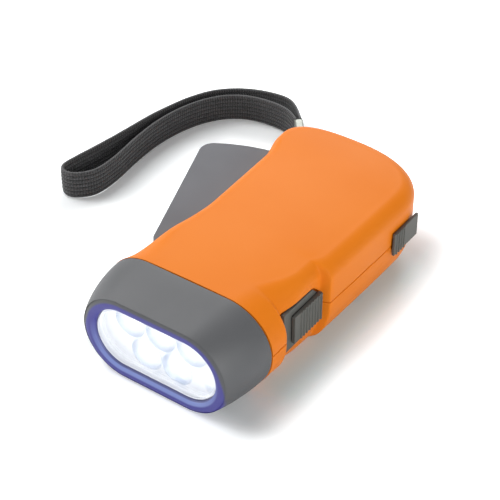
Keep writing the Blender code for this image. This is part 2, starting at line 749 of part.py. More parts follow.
def lever_outline(inset, inner, steps):
    """The outer, rear and inner edges of the lever seen from above, moved in by a wall."""
    hub = LEVER_HUB_RADIUS - inset
    end = LEVER_END_RADIUS - inset
    corner = LEVER_CORNER_RADIUS - inset
    reach = sqrt((end - corner) ** 2 - (hub - corner) ** 2)
    lean = atan2(hub - corner, reach)
    points = []
    for step in range(steps + 1):
        turn = mix(pi / 2, lean, step / steps)
        points.append(lever_point(reach + corner * cos(turn), hub - corner + corner * sin(turn)))
    last = -asin(inner / end)
    for step in range(1, steps + 1):
        turn = mix(lean, last, step / steps)
        points.append(lever_point(end * cos(turn), end * sin(turn)))
    points.append(lever_point(0, -inner))
    return points


def hub_arc(radius, start, end, steps):
    """The rounded end of the lever round its pivot; angles run from the inner to the outer side."""
    turns = [mix(start, end, step / steps) for step in range(steps + 1)]
    return [lever_point(-radius * cos(turn), radius * sin(turn)) for turn in turns]


def pitch_radius(teeth):
    return MODULE * teeth / 2


def root_radius(teeth):
    return pitch_radius(teeth) - MODULE * DEDENDUM_SHARE


def tooth_profile(teeth):
    """Half a tooth as (radius, half angle) pairs, on an involute at the root, base and tip."""
    pitch = pitch_radius(teeth)
    base = pitch * cos(PRESSURE_ANGLE)
    root = root_radius(teeth)
    tip = pitch + MODULE * ADDENDUM_SHARE
    half_at_pitch = (pi * MODULE / 2 - BACKLASH) / (2 * pitch)
    levels = [root, base, tip] if base - root > BACKLASH else [root, tip]
    pairs = []
    for radius in levels:
        pressure = acos(min(base / radius, 1))
        opening = tan(PRESSURE_ANGLE) - PRESSURE_ANGLE - tan(pressure) + pressure
        pairs.append((radius, half_at_pitch + opening))
    return pairs


def gear_outline(centre, teeth, tooth_angle, first=0, count=0):
    """Teeth round a centre, one of them on tooth_angle: all of them, or a run of count teeth."""
    points = []
    profile = tooth_profile(teeth)
    for number in range(first, first + (count or teeth)):
        middle = tooth_angle + 2 * pi * number / teeth
        flank = [(radius, middle - half) for radius, half in profile]
        flank += [(radius, middle + half) for radius, half in reversed(profile)]
        points += [polar(centre, radius, angle) for radius, angle in flank]
    return points


def sector_outline():
    """The toothed sector on the lever, a run of teeth that reaches back to the pivot."""
    tooth = 2 * pi / SECTOR_TEETH
    root = root_radius(SECTOR_TEETH)
    teeth = gear_outline(PIVOT, SECTOR_TEETH, FIRST_MESH_ANGLE, -1, SECTOR_CUT_TEETH)
    start = polar(PIVOT, root, FIRST_MESH_ANGLE - 2 * tooth)
    end = polar(PIVOT, root, FIRST_MESH_ANGLE + tooth * (SECTOR_CUT_TEETH - 1))
    return [PIVOT, start] + teeth + [end]


def make_lever():
    plan = hub_arc(LEVER_HUB_RADIUS, -pi / 2, pi / 2, 14)[:-1] + lever_outline(0, LEVER_INNER_REACH, 6)
    body = prism(plan, LEVER_BOTTOM, LEVER_TOP, LEVER_EDGE_ROUNDING)
    lever = add_object("squeeze_lever", body, LEVER_PLASTIC, (*PIVOT, LEVER_BOTTOM))
    inner = LEVER_INNER_REACH + OVERRUN
    hub = LEVER_HUB_RADIUS - LEVER_WALL
    channel = hub_arc(hub, 0, pi / 2, 8)[:-1] + lever_outline(LEVER_WALL, inner, 5)
    channel.append(lever_point(-hub, -inner - OVERRUN))
    cut(lever, prism(channel, LEVER_BOTTOM + LEVER_WEB, LEVER_TOP - LEVER_WEB), "channel")
    join(lever, cylinder(PIVOT, BARREL_RADIUS, LEVER_BOTTOM, LEVER_TOP, ROUND_SEGMENTS), "barrel")
    join(lever, prism(sector_outline(), SECTOR_BOTTOM, SECTOR_TOP), "sector")
    bore = PIVOT_PIN_RADIUS + BORE_CLEARANCE
    cut(lever, cylinder(PIVOT, bore, LEVER_BOTTOM - OVERRUN, LEVER_TOP + OVERRUN), "bore")
    near = -LEVER_INNER_REACH + CATCH_LUG_WIDTH
    far = near + CATCH_NOTCH_WIDTH
    front, back = LEVER_END_RADIUS - CATCH_NOTCH_DEPTH, LEVER_END_RADIUS + OVERRUN
    corners = ((front, near), (back, near), (back, far), (front, far))
    notch = [lever_point(forward, out) for forward, out in corners]
    cut(lever, prism(notch, LOCK_TIP_BOTTOM - OVERRUN, LEVER_TOP + OVERRUN), "catch_notch")


def make_pivot_pin():
    bottom = LEVER_BOTTOM - PIVOT_SOCKET_DEPTH
    top = LEVER_TOP + PIVOT_SOCKET_DEPTH
    chamfer = PIVOT_PIN_RADIUS / 4
    profile = [
        (PIVOT_PIN_RADIUS - chamfer, bottom), (PIVOT_PIN_RADIUS, bottom + chamfer),
        (PIVOT_PIN_RADIUS, top - chamfer), (PIVOT_PIN_RADIUS - chamfer, top),
    ]
    body = turned(profile, (*PIVOT, 0), "Z", SMALL_SEGMENTS)
    add_object("lever_pivot_pin", body, BRIGHT_STEEL, (*PIVOT, bottom))


# Gear train places and heights

IDLER_CENTRE = polar(PIVOT, pitch_radius(SECTOR_TEETH) + pitch_radius(PINION_TEETH), FIRST_MESH_ANGLE)
CLUTCH_CENTRE = polar(
    IDLER_CENTRE, pitch_radius(IDLER_TEETH) + pitch_radius(PINION_TEETH), SECOND_MESH_ANGLE
)
ROTOR_CENTRE = polar(
    CLUTCH_CENTRE, pitch_radius(CLUTCH_TEETH) + pitch_radius(PINION_TEETH), THIRD_MESH_ANGLE
)
HALF_PINION_TOOTH = pi / PINION_TEETH
IDLER_PINION_BOTTOM = SECTOR_BOTTOM - PINION_OVERLAP
IDLER_WHEEL_BOTTOM = SECTOR_TOP + GEAR_STEP
IDLER_WHEEL_TOP = IDLER_WHEEL_BOTTOM + GEAR_THICKNESS
CLUTCH_PINION_BOTTOM = IDLER_WHEEL_BOTTOM - PINION_OVERLAP
CLUTCH_WHEEL_BOTTOM = IDLER_WHEEL_TOP + GEAR_STEP
CLUTCH_WHEEL_TOP = CLUTCH_WHEEL_BOTTOM + GEAR_THICKNESS
ROTOR_PINION_BOTTOM = CLUTCH_WHEEL_BOTTOM - PINION_OVERLAP
ROTOR_PINION_TOP = CLUTCH_WHEEL_TOP + PINION_OVERLAP
MAGNET_TOP = MAGNET_BOTTOM + MAGNET_HEIGHT
FLYWHEEL_BOTTOM = MAGNET_TOP + GAP
FLYWHEEL_TOP = FLYWHEEL_BOTTOM + FLYWHEEL_THICKNESS

# Each axle's centre with the faces of the lower and upper bosses that hold it
AXLES = {
    "idler_axle": (IDLER_CENTRE, IDLER_PINION_BOTTOM - GAP, IDLER_WHEEL_TOP + GAP),
    "clutch_axle": (CLUTCH_CENTRE, CLUTCH_PINION_BOTTOM - GAP, CLUTCH_WHEEL_TOP + GAP),
    "flywheel_axle": (ROTOR_CENTRE, MAGNET_BOTTOM - GAP, ROTOR_PINION_TOP + GAP),
}


def make_axles():
    for name, (centre, lower, upper) in AXLES.items():
        bottom, top = lower - AXLE_SOCKET_DEPTH + GAP, upper + AXLE_SOCKET_DEPTH - GAP
        add_object(name, cylinder(centre, AXLE_RADIUS, bottom, top), BRIGHT_STEEL, (*centre, bottom))


def make_stepped_gear(name, centre, teeth, tooth_angle, pinion_angle, heights):
    """A wheel and its pinion in one moulding, bored for its axle."""
    pinion_bottom, wheel_bottom, wheel_top = heights
    pinion = prism(gear_outline(centre, PINION_TEETH, pinion_angle), pinion_bottom, wheel_top)
    gear = add_object(name, pinion, WHITE_NYLON, (*centre, pinion_bottom))
    join(gear, prism(gear_outline(centre, teeth, tooth_angle), wheel_bottom, wheel_top), "wheel")
    bore = AXLE_RADIUS + BORE_CLEARANCE
    cut(gear, cylinder(centre, bore, pinion_bottom - OVERRUN, wheel_top + OVERRUN), "bore")


def make_gears():
    make_stepped_gear(
        "idler_gear", IDLER_CENTRE, IDLER_TEETH, SECOND_MESH_ANGLE,
        FIRST_MESH_ANGLE + pi + HALF_PINION_TOOTH,
        (IDLER_PINION_BOTTOM, IDLER_WHEEL_BOTTOM, IDLER_WHEEL_TOP),
    )
    make_stepped_gear(
        "clutch_gear", CLUTCH_CENTRE, CLUTCH_TEETH, THIRD_MESH_ANGLE,
        SECOND_MESH_ANGLE + pi + HALF_PINION_TOOTH,
        (CLUTCH_PINION_BOTTOM, CLUTCH_WHEEL_BOTTOM, CLUTCH_WHEEL_TOP),
    )


def make_flywheel():
    """The flywheel, dished on top, on a sleeve that carries the last pinion."""
    rim_inner = FLYWHEEL_RADIUS - FLYWHEEL_RIM_WIDTH
    dish = FLYWHEEL_TOP - FLYWHEEL_DISH
    profile = [
        (SLEEVE_RADIUS, MAGNET_BOTTOM), (SLEEVE_RADIUS, FLYWHEEL_BOTTOM),
        (FLYWHEEL_RADIUS, FLYWHEEL_BOTTOM), (FLYWHEEL_RADIUS, FLYWHEEL_TOP),
        (rim_inner, FLYWHEEL_TOP), (rim_inner, dish), (SLEEVE_RADIUS, dish),
        (SLEEVE_RADIUS, ROTOR_PINION_BOTTOM + PINION_OVERLAP),
    ]
    body = turned(profile, (*ROTOR_CENTRE, 0))
    wheel = add_object("flywheel", body, DARK_STEEL, (*ROTOR_CENTRE, MAGNET_BOTTOM))
    teeth = gear_outline(ROTOR_CENTRE, PINION_TEETH, THIRD_MESH_ANGLE + pi + HALF_PINION_TOOTH)
    join(wheel, prism(teeth, ROTOR_PINION_BOTTOM, ROTOR_PINION_TOP), "pinion")
    bore = AXLE_RADIUS + BORE_CLEARANCE
    low, high = MAGNET_BOTTOM - OVERRUN, ROTOR_PINION_TOP + OVERRUN
    cut(wheel, cylinder(ROTOR_CENTRE, bore, low, high), "bore")


def make_magnet():
    bore = SLEEVE_RADIUS + BORE_CLEARANCE
    profile = [
        (bore, MAGNET_BOTTOM), (MAGNET_RADIUS, MAGNET_BOTTOM),
        (MAGNET_RADIUS, MAGNET_TOP), (bore, MAGNET_TOP),
    ]
    body = turned(profile, (*ROTOR_CENTRE, 0), closed=True)
    add_object("ring_magnet", body, FERRITE, (*ROTOR_CENTRE, MAGNET_BOTTOM))


# The stator round the magnet

POLE_RADIUS = MAGNET_RADIUS + AIR_GAP
ARM_INNER = POLE_RADIUS * cos(POLE_HALF_ANGLE)
ARM_OUTER = MAGNET_RADIUS + CORE_THICKNESS
COIL_Y = along(COIL_FROM_FRONT)
CORE_BOTTOM = COIL_HEIGHT - CORE_HEIGHT / 2


def make_stator():
    """The laminated core, whose two arms reach round the magnet from the coil."""
    x, y = ROTOR_CENTRE
    front, back = COIL_Y - CORE_BRIDGE / 2, COIL_Y + CORE_BRIDGE / 2
    rear = y + CORE_ARM_REACH
    turns = [mix(POLE_HALF_ANGLE, -POLE_HALF_ANGLE, step / 6) for step in range(7)]
    right_pole = [polar(ROTOR_CENTRE, POLE_RADIUS, turn) for turn in turns]
    left_pole = [(2 * x - spot[0], spot[1]) for spot in reversed(right_pole)]
    outline = [(x - ARM_OUTER, front), (x + ARM_OUTER, front), (x + ARM_OUTER, rear), (x + ARM_INNER, rear)]
    outline += right_pole + [(x + ARM_INNER, back), (x - ARM_INNER, back)]
    outline += left_pole + [(x - ARM_INNER, rear), (x - ARM_OUTER, rear)]
    add_object("stator_core", prism(outline, CORE_BOTTOM, CORE_BOTTOM + CORE_HEIGHT), DARK_STEEL)


def make_coil():
    half = BOBBIN_LENGTH / 2
    inside = half - BOBBIN_FLANGE
    profile = [
        (BOBBIN_RADIUS, -half), (BOBBIN_RADIUS, -inside), (BOBBIN_TUBE_RADIUS, -inside),
        (BOBBIN_TUBE_RADIUS, inside), (BOBBIN_RADIUS, inside), (BOBBIN_RADIUS, half),
    ]
    centre = Vector((ROTOR_CENTRE.x, COIL_Y, COIL_HEIGHT))
    bobbin = add_object("coil_bobbin", turned(profile, centre, "X", MIDDLE_SEGMENTS), BLACK_PLASTIC, centre)
    reach = Vector((
        half + OVERRUN, CORE_BRIDGE / 2 + BORE_CLEARANCE, CORE_HEIGHT / 2 + BORE_CLEARANCE
    ))
    cut(bobbin, box(centre - reach, centre + reach), "passage")
    low, high, end = BOBBIN_TUBE_RADIUS + BORE_CLEARANCE, COIL_RADIUS, inside - GAP
    profile = [(low, -end), (high, -end), (high, end), (low, end)]
    winding = turned(profile, centre, "X", MIDDLE_SEGMENTS, closed=True)
    add_object("coil", winding, COPPER, centre)


# Return spring

SPRING_POST = polar(PIVOT, SPRING_POST_REACH, SPRING_POST_ANGLE)


def add_tube(name, points, radius, finish, resolution):
    """A round wire or cord along a run of points."""
    curve = bpy.data.curves.new(name, "CURVE")
    curve.dimensions = "3D"
    curve.bevel_depth = radius
    curve.bevel_resolution = resolution
    curve.use_fill_caps = True
    spline = curve.splines.new("POLY")
    spline.points.add(len(points) - 1)
    for point, spot in zip(spline.points, points):
        point.co = (*spot, 1)
    curve.materials.append(finish_material(name, finish))
    tube = bpy.data.objects.new(name, curve)
    bpy.context.scene.collection.objects.link(tube)
    return tube


def make_return_spring():
    """A torsion spring round the barrel: one leg on the lever's outer wall, one on the housing's post."""
    bottom = SECTOR_TOP + SPRING_BOTTOM_CLEARANCE
    leg_end = lever_point(SPRING_LEG_FORWARD, LEVER_HUB_RADIUS - LEVER_WALL - GAP - SPRING_WIRE_RADIUS)
    leg = leg_end - PIVOT
    start = atan2(leg.y, leg.x) + acos(SPRING_RADIUS / leg.length)
    beside_post = SPRING_RADIUS + SPRING_POST_RADIUS + SPRING_WIRE_RADIUS + GAP
    lean = acos(beside_post / SPRING_POST_REACH)
    end = SPRING_POST_ANGLE - lean
    sweep = (end - start) % (2 * pi) + 2 * pi * SPRING_TURNS
    count = int(sweep / (2 * pi) * SPRING_STEPS)
    points = [(*leg_end, bottom)]
    for step in range(count + 1):
        share = step / count
        spot = polar(PIVOT, SPRING_RADIUS, start + sweep * share)
        points.append((*spot, bottom + SPRING_PITCH * sweep / (2 * pi) * share))
    tangent = Vector((-sin(end), cos(end)))
    last = polar(PIVOT, SPRING_RADIUS, end) + tangent * (SPRING_POST_REACH * sin(lean) + SPRING_POST_RADIUS)
    points.append((*last, points[-1][2]))
    add_tube("return_spring", points, SPRING_WIRE_RADIUS, BRIGHT_STEEL, 1)


# Lamp switch

FLOOR_X = right_edge(HOLLOW_FROM_FRONT + HOLLOW_LENGTH) - HOLLOW_DEPTH
SEAT_X = FLOOR_X - SWITCH_PLATE_THICKNESS - GAP
PLATE_INNER = SEAT_X + GAP
PLATE_OUTER = PLATE_INNER + SWITCH_PLATE_THICKNESS
KNOB_INNER = PLATE_OUTER + GAP
PLATE_FRONT = HOLLOW_FROM_FRONT + HOLLOW_FRONT_EDGE + GAP
PLATE_REAR = HOLLOW_FROM_FRONT + HOLLOW_LENGTH - GAP
KNOB_REAR = PLATE_REAR - GAP
KNOB_FRONT = KNOB_REAR - SWITCH_KNOB_LENGTH
STEM_FRONT = KNOB_FRONT + SWITCH_KNOB_LENGTH / 2 - SWITCH_STEM_WIDTH / 2
STEM_REAR = STEM_FRONT + SWITCH_STEM_WIDTH
STEM_END = KNOB_INNER - SWITCH_STEM_DEPTH


def plate_outline(spare):
    """The switch plate seen from the side, with its upper rear corner cut off."""
    low, high = SWITCH_PLATE_BOTTOM - spare, SWITCH_PLATE_TOP + spare
    front, rear = along(PLATE_FRONT) - spare, along(PLATE_REAR) + spare
    corner = SWITCH_PLATE_CORNER
    return [(front, low), (rear, low), (rear, high - corner), (rear - corner, high), (front, high)]


def switch_slot():
    """The slot for the switch's stem, as a cutter that reaches through plate and housing."""
    spare = GAP + SWITCH_STEM_HEIGHT / 2
    return box(
        (SEAT_X - WALL - OVERRUN, along(STEM_FRONT - SWITCH_TRAVEL) - GAP, PARTING_HEIGHT - spare),
        (KNOB_INNER + OVERRUN, along(STEM_REAR) + GAP, PARTING_HEIGHT + spare),
    )


def ribbed_outline(inner, face, front, rear, first_rib, ribs):
    """A plan outline with upright ribs on its outer face."""
    outline = [(inner, along(front)), (face, along(front))]
    for number in range(ribs):
        near = along(first_rib + RIB_PITCH * number) - RIB_WIDTH / 2
        far = near + RIB_WIDTH
        outline += [(face, near), (face + RIB_DEPTH, near), (face + RIB_DEPTH, far), (face, far)]
    outline += [(face, along(rear)), (inner, along(rear))]
    return outline


def make_switch_plate():
    body = prism_across(plate_outline(0), PLATE_INNER, PLATE_OUTER)
    plate = add_object("switch_plate", body, GREY_PLASTIC)
    cut(plate, switch_slot(), "slot")


def make_switch_slider():
    half = SWITCH_KNOB_HEIGHT / 2
    face = KNOB_INNER + SWITCH_KNOB_THICKNESS
    first_rib = KNOB_REAR - RIB_PITCH * SWITCH_RIBS
    outline = ribbed_outline(KNOB_INNER, face, KNOB_FRONT, KNOB_REAR, first_rib, SWITCH_RIBS)
    body = prism(outline, PARTING_HEIGHT - half, PARTING_HEIGHT + half)
    origin = (KNOB_INNER, along(KNOB_FRONT), PARTING_HEIGHT)
    knob = add_object("switch_slider", body, GREY_PLASTIC, origin)
    stem = box(
        (STEM_END, along(STEM_FRONT), PARTING_HEIGHT - SWITCH_STEM_HEIGHT / 2),
        (KNOB_INNER + SWITCH_KNOB_THICKNESS / 2, along(STEM_REAR), PARTING_HEIGHT + SWITCH_STEM_HEIGHT / 2),
    )
    join(knob, stem, "stem")


def make_switch_contact():
    """The contact block behind the housing's wall, grooved for the end of the stem."""
    outer = SEAT_X - WALL - GAP
    inner = outer - SWITCH_BLOCK_THICKNESS
    middle = along((STEM_FRONT + STEM_REAR - SWITCH_TRAVEL) / 2)
    half_long, half_high = SWITCH_BLOCK_LENGTH / 2, SWITCH_BLOCK_HEIGHT / 2
    block = box(
        (inner, middle - half_long, PARTING_HEIGHT - half_high),
        (outer, middle + half_long, PARTING_HEIGHT + half_high),
    )
    contact = add_object("switch_contact", block, BLACK_PLASTIC)
    spare = GAP + SWITCH_STEM_HEIGHT / 2
    groove = box(
        (STEM_END - GAP, middle - half_long - OVERRUN, PARTING_HEIGHT - spare),
        (outer + OVERRUN, middle + half_long + OVERRUN, PARTING_HEIGHT + spare),
    )
    cut(contact, groove, "groove")


# Lever lock

LOCK_INNER = HALF_WIDTH + GAP
LOCK_UPRIGHT_X = HALF_WIDTH - WALL - LOCK_WALL_CLEARANCE - LOCK_UPRIGHT_THICKNESS
LOCK_STEM_BOTTOM = LOCK_CENTRE_HEIGHT - LOCK_STEM_HEIGHT / 2
LOCK_STEM_TOP = LOCK_CENTRE_HEIGHT + LOCK_STEM_HEIGHT / 2
LOCK_TIP_X = PIVOT_X + LEVER_INNER_REACH - CATCH_LUG_WIDTH - CATCH_NOTCH_WIDTH / 2
LEVER_END_FROM_FRONT = PIVOT_FROM_FRONT + sqrt(LEVER_END_RADIUS ** 2 - (LOCK_TIP_X - PIVOT_X) ** 2)
LOCK_ARM_FRONT = LEVER_END_FROM_FRONT + LOCK_TIP_CLEARANCE
LOCK_ARM_REAR = LOCK_ARM_FRONT + LOCK_ARM_WIDTH


def lock_slot():
    """The slot in the housing's side for the lock's stem."""
    front = along(LOCK_STEM_FROM_FRONT - LOCK_TRAVEL) - GAP
    rear = along(LOCK_STEM_FROM_FRONT + LOCK_STEM_LENGTH) + GAP
    return box(
        (HALF_WIDTH - LOCK_SLOT_REACH, front, LOCK_STEM_BOTTOM - GAP),
        (HALF_WIDTH + OVERRUN, rear, LOCK_STEM_TOP + GAP),
    )


def make_lock():
    """The lock's grip with the arm that carries its tip over the lever's end."""
    rear = LOCK_FROM_FRONT + LOCK_LENGTH
    face = LOCK_INNER + LOCK_THICKNESS
    outline = ribbed_outline(LOCK_INNER, face, LOCK_FROM_FRONT, rear, LOCK_FROM_FRONT + RIB_PITCH, LOCK_RIBS)
    half = LOCK_HEIGHT / 2
    body = prism(outline, LOCK_CENTRE_HEIGHT - half, LOCK_CENTRE_HEIGHT + half)
    origin = (LOCK_INNER, along(LOCK_FROM_FRONT), LOCK_CENTRE_HEIGHT)
    lock = add_object("lock_slider", body, GREY_PLASTIC, origin)
    stem_front, stem_rear = along(LOCK_STEM_FROM_FRONT), along(LOCK_STEM_FROM_FRONT + LOCK_STEM_LENGTH)
    inner = LOCK_UPRIGHT_X
    outer = inner + LOCK_UPRIGHT_THICKNESS
    stem_start, stem_end = inner + LOCK_UPRIGHT_THICKNESS / 2, LOCK_INNER + LOCK_THICKNESS / 2
    stem = box((stem_start, stem_front, LOCK_STEM_BOTTOM), (stem_end, stem_rear, LOCK_STEM_TOP))
    join(lock, stem, "stem")
    join(lock, box((inner, stem_front, LOCK_STEM_BOTTOM), (outer, stem_rear, LOCK_ARM_TOP)), "upright")
    front, back = along(LOCK_ARM_FRONT), along(LOCK_ARM_REAR)
    left = LOCK_TIP_X - LOCK_TIP_WIDTH / 2
    arm = [
        (outer, stem_front), (outer, stem_rear), (LOCK_ARM_ELBOW_X, back), (left, back), (left, front),
        (LOCK_ARM_ELBOW_X - LOCK_ARM_WIDTH / 2, front), (inner, stem_rear - LOCK_ARM_WIDTH),
        (inner, stem_front),
    ]
    join(lock, prism(arm, LOCK_ARM_BOTTOM, LOCK_ARM_TOP), "arm")
    tip_top = LOCK_ARM_TOP - LOCK_ARM_THICKNESS / 2
    join(lock, box((left, front, LOCK_TIP_BOTTOM), (left + LOCK_TIP_WIDTH, back, tip_top)), "tip")


# Cells

CELL_HEIGHT = WALL + CELL_FLOOR_CLEARANCE + CELL_RADIUS
CELL_PITCH = CELL_THICKNESS + GAP
CELL_END_X = CELL_START_X + CELL_PITCH * CELL_COUNT - GAP
LEFT_CONTACT_X = CELL_START_X - GAP - CONTACT_THICKNESS
RIGHT_CONTACT_X = CELL_END_X + GAP


def make_cells():
    y = along(CELL_FROM_FRONT)
    can = CELL_THICKNESS - CELL_CAP_THICKNESS
    profile = [
        (CELL_RADIUS - CELL_EDGE, 0), (CELL_RADIUS, CELL_EDGE), (CELL_RADIUS, can - CELL_EDGE),
        (CELL_RADIUS - CELL_EDGE, can), (CELL_CAP_RADIUS, can), (CELL_CAP_RADIUS, CELL_THICKNESS),
    ]
    for number in range(CELL_COUNT):
        centre = (CELL_START_X + CELL_PITCH * number, y, CELL_HEIGHT)
        add_object("cell_" + str(number + 1), turned(profile, centre, "X", MIDDLE_SEGMENTS), NICKEL, centre)


def make_cell_contacts():
    y = along(CELL_FROM_FRONT)
    half = CONTACT_WIDTH / 2
    bottom = WALL + GAP
    for number, x in enumerate((LEFT_CONTACT_X, RIGHT_CONTACT_X)):
        plate = box((x, y - half, bottom), (x + CONTACT_THICKNESS, y + half, bottom + CONTACT_HEIGHT))
        add_object("cell_contact_" + str(number + 1), plate, BRIGHT_STEEL)


# Shell screws

SCREWS = {
    "shell_screw_head": (HEAD_SCREW_X, along(HEAD_SCREW_FROM_FRONT)),
    "shell_screw_side": (SIDE_SCREW_X, along(SIDE_SCREW_FROM_FRONT)),
    "shell_screw_tail": (TAIL_SCREW_X, along(TAIL_SCREW_FROM_FRONT)),
}
SCREW_SEAT = SCREW_RECESS_HEIGHT - GAP
SCREW_TIP = SCREW_SEAT + SCREW_LENGTH


def make_screws():
    bottom = SCREW_SEAT - SCREW_HEAD_THICKNESS
    edge = SCREW_HEAD_THICKNESS / 3
    profile = [
        (SCREW_HEAD_RADIUS - edge, bottom), (SCREW_HEAD_RADIUS, bottom + edge),
        (SCREW_HEAD_RADIUS, SCREW_SEAT), (SCREW_RADIUS, SCREW_SEAT),
        (SCREW_RADIUS, SCREW_TIP - SCREW_RADIUS), (SCREW_RADIUS / 2, SCREW_TIP),
    ]
    reach, width = SCREW_CROSS_REACH, SCREW_CROSS_WIDTH / 2
    quarter = [(reach, -width), (reach, width), (width, width)]
    for name, (x, y) in SCREWS.items():
        body = turned(profile, (x, y, 0), "Z", SMALL_SEGMENTS)
        screw = add_object(name, body, BRIGHT_STEEL, (x, y, bottom))
        cross = []
        for turns in range(4):
            for a, b in quarter:
                for _ in range(turns):
                    a, b = -b, a
                cross.append((x + a, y + b))
        cut(screw, prism(cross, bottom - OVERRUN, bottom + SCREW_CROSS_DEPTH), "cross")


# What is cut into and built on the two housing halves


def lever_slot():
    """The opening in the housing's left side for the lever, swung round its pivot."""
    hub = LEVER_HUB_RADIUS + LEVER_SLOT_CLEARANCE
    end = LEVER_END_RADIUS + LEVER_SLOT_CLEARANCE
    right = asin((LEVER_INNER_REACH + LEVER_SLOT_CLEARANCE) / end)
    outline = [polar(PIVOT, hub, mix(-pi / 6, -pi, step / 12)) for step in range(13)]
    outline.append(PIVOT - Vector((LEVER_SWING_REACH, 0)))
    turns = [mix(pi / 2 + LEVER_OPEN_ANGLE * 2, pi / 2 - right, step / 12) for step in range(13)]
    outline += [polar(PIVOT, end, turn) for turn in turns]
    return prism(outline, LEVER_BOTTOM - LEVER_SLOT_CLEARANCE, LEVER_TOP + LEVER_SLOT_CLEARANCE)


def switch_pad(bottom, top):
    """Thicker wall behind the switch plate."""
    front, rear = along(PLATE_FRONT) - SWITCH_PAD_BORDER, along(PLATE_REAR) + SWITCH_PAD_BORDER
    return box((SEAT_X - WALL, front, bottom), (HALF_WIDTH, rear, top))


def plate_pocket():
    return prism_across(plate_outline(GAP), SEAT_X, HALF_WIDTH)


def cap_hole():
    half = (SPIGOT_HALF_WIDTH + GAP, SPIGOT_HALF_HEIGHT + GAP)
    ends = (SEAM_FROM_FRONT - OVERRUN, SEAM_FROM_FRONT + WALL + OVERRUN)
    return loft([lens_stadium(depth, *half) for depth in ends])


def cradle_walls():
    """Low walls that hold the row of cells from the front, from behind and at its two contacts."""
    y = along(CELL_FROM_FRONT)
    inner = CELL_RADIUS + GAP
    outer = inner + CRADLE_WALL
    half = CONTACT_WIDTH / 2
    left = LEFT_CONTACT_X - GAP
    right = RIGHT_CONTACT_X + CONTACT_THICKNESS + GAP
    return [
        box((CELL_START_X, y - outer, 0), (CELL_END_X, y - inner, CRADLE_HEIGHT)),
        box((CELL_START_X, y + inner, 0), (CELL_END_X, y + outer, CRADLE_HEIGHT)),
        box((left - CRADLE_WALL, y - half, 0), (left, y + half, CRADLE_HEIGHT)),
        box((right, y - half, 0), (right + CRADLE_WALL, y + half, CRADLE_HEIGHT)),
    ]


def core_posts():
    """Four short posts under the stator's arms."""
    middle = (ARM_INNER + ARM_OUTER) / 2
    rear = ROTOR_CENTRE.y + CORE_ARM_REACH - CORE_POST_RADIUS
    spots = [(ROTOR_CENTRE.x + side * middle, y) for side in (-1, 1) for y in (COIL_Y, rear)]
    return [cylinder(spot, CORE_POST_RADIUS, 0, CORE_BOTTOM - GAP) for spot in spots]


def strap_window():
    """The window in the tail's left corner for the strap's cord, facing the ferrule."""
    post = Vector((POST_X, along(POST_FROM_FRONT)))
    way = (Vector((FERRULE_X, along(FERRULE_FROM_FRONT))) - post).normalized()
    side = Vector((-way.y, way.x)) * STRAP_WINDOW_WIDTH / 2
    near = post + way * (LOOP_WRAP_RADIUS - LOOP_CORD_RADIUS)
    far = post + way * STRAP_WINDOW_REACH
    half = STRAP_WINDOW_HEIGHT / 2
    return prism([near - side, far - side, far + side, near + side], LOOP_HEIGHT - half, LOOP_HEIGHT + half)


def cut_side_openings(shell):
    cut(shell, cap_hole(), "cap_hole")
    cut(shell, lever_slot(), "lever_slot")
    cut(shell, plate_pocket(), "plate_pocket")
    cut(shell, switch_slot(), "switch_slot")
    cut(shell, lock_slot(), "lock_slot")


def make_upper_shell():
    body = loft(skin(True, 0)[::-1] + skin(True, WALL))
    shell = add_object("upper_shell", body, ORANGE_PLASTIC)
    core = add_guide("upper_core", loft(skin(True, WALL / 2)))
    bottom = PARTING_HEIGHT + GAP / 2
    join(shell, switch_pad(bottom, SWITCH_PLATE_TOP + SWITCH_PAD_BORDER), "switch_pad", core)
    bosses = [cylinder(PIVOT, PIVOT_BOSS_RADIUS, LEVER_TOP + GAP, BODY_HEIGHT)]
    bosses += [cylinder(centre, AXLE_BOSS_RADIUS, face, BODY_HEIGHT) for centre, _, face in AXLES.values()]
    bosses += [cylinder(spot, SCREW_TOP_BOSS_RADIUS, bottom, BODY_HEIGHT) for spot in SCREWS.values()]
    bosses.append(cylinder(SPRING_POST, SPRING_POST_RADIUS, bottom, BODY_HEIGHT))
    join(shell, together(*bosses), "bosses", core)
    seat = LEVER_TOP + GAP
    bore = AXLE_RADIUS + BORE_CLEARANCE
    holes = [cylinder(PIVOT, PIVOT_PIN_RADIUS + BORE_CLEARANCE, seat - OVERRUN, seat + PIVOT_SOCKET_DEPTH)]
    for centre, _, face in AXLES.values():
        holes.append(cylinder(centre, bore, face - OVERRUN, face + AXLE_SOCKET_DEPTH))
    for spot in SCREWS.values():
        holes.append(cylinder(spot, SCREW_RADIUS + BORE_CLEARANCE, bottom - OVERRUN, SCREW_TIP + GAP))
    cut(shell, together(*holes), "holes")
    cut_side_openings(shell)


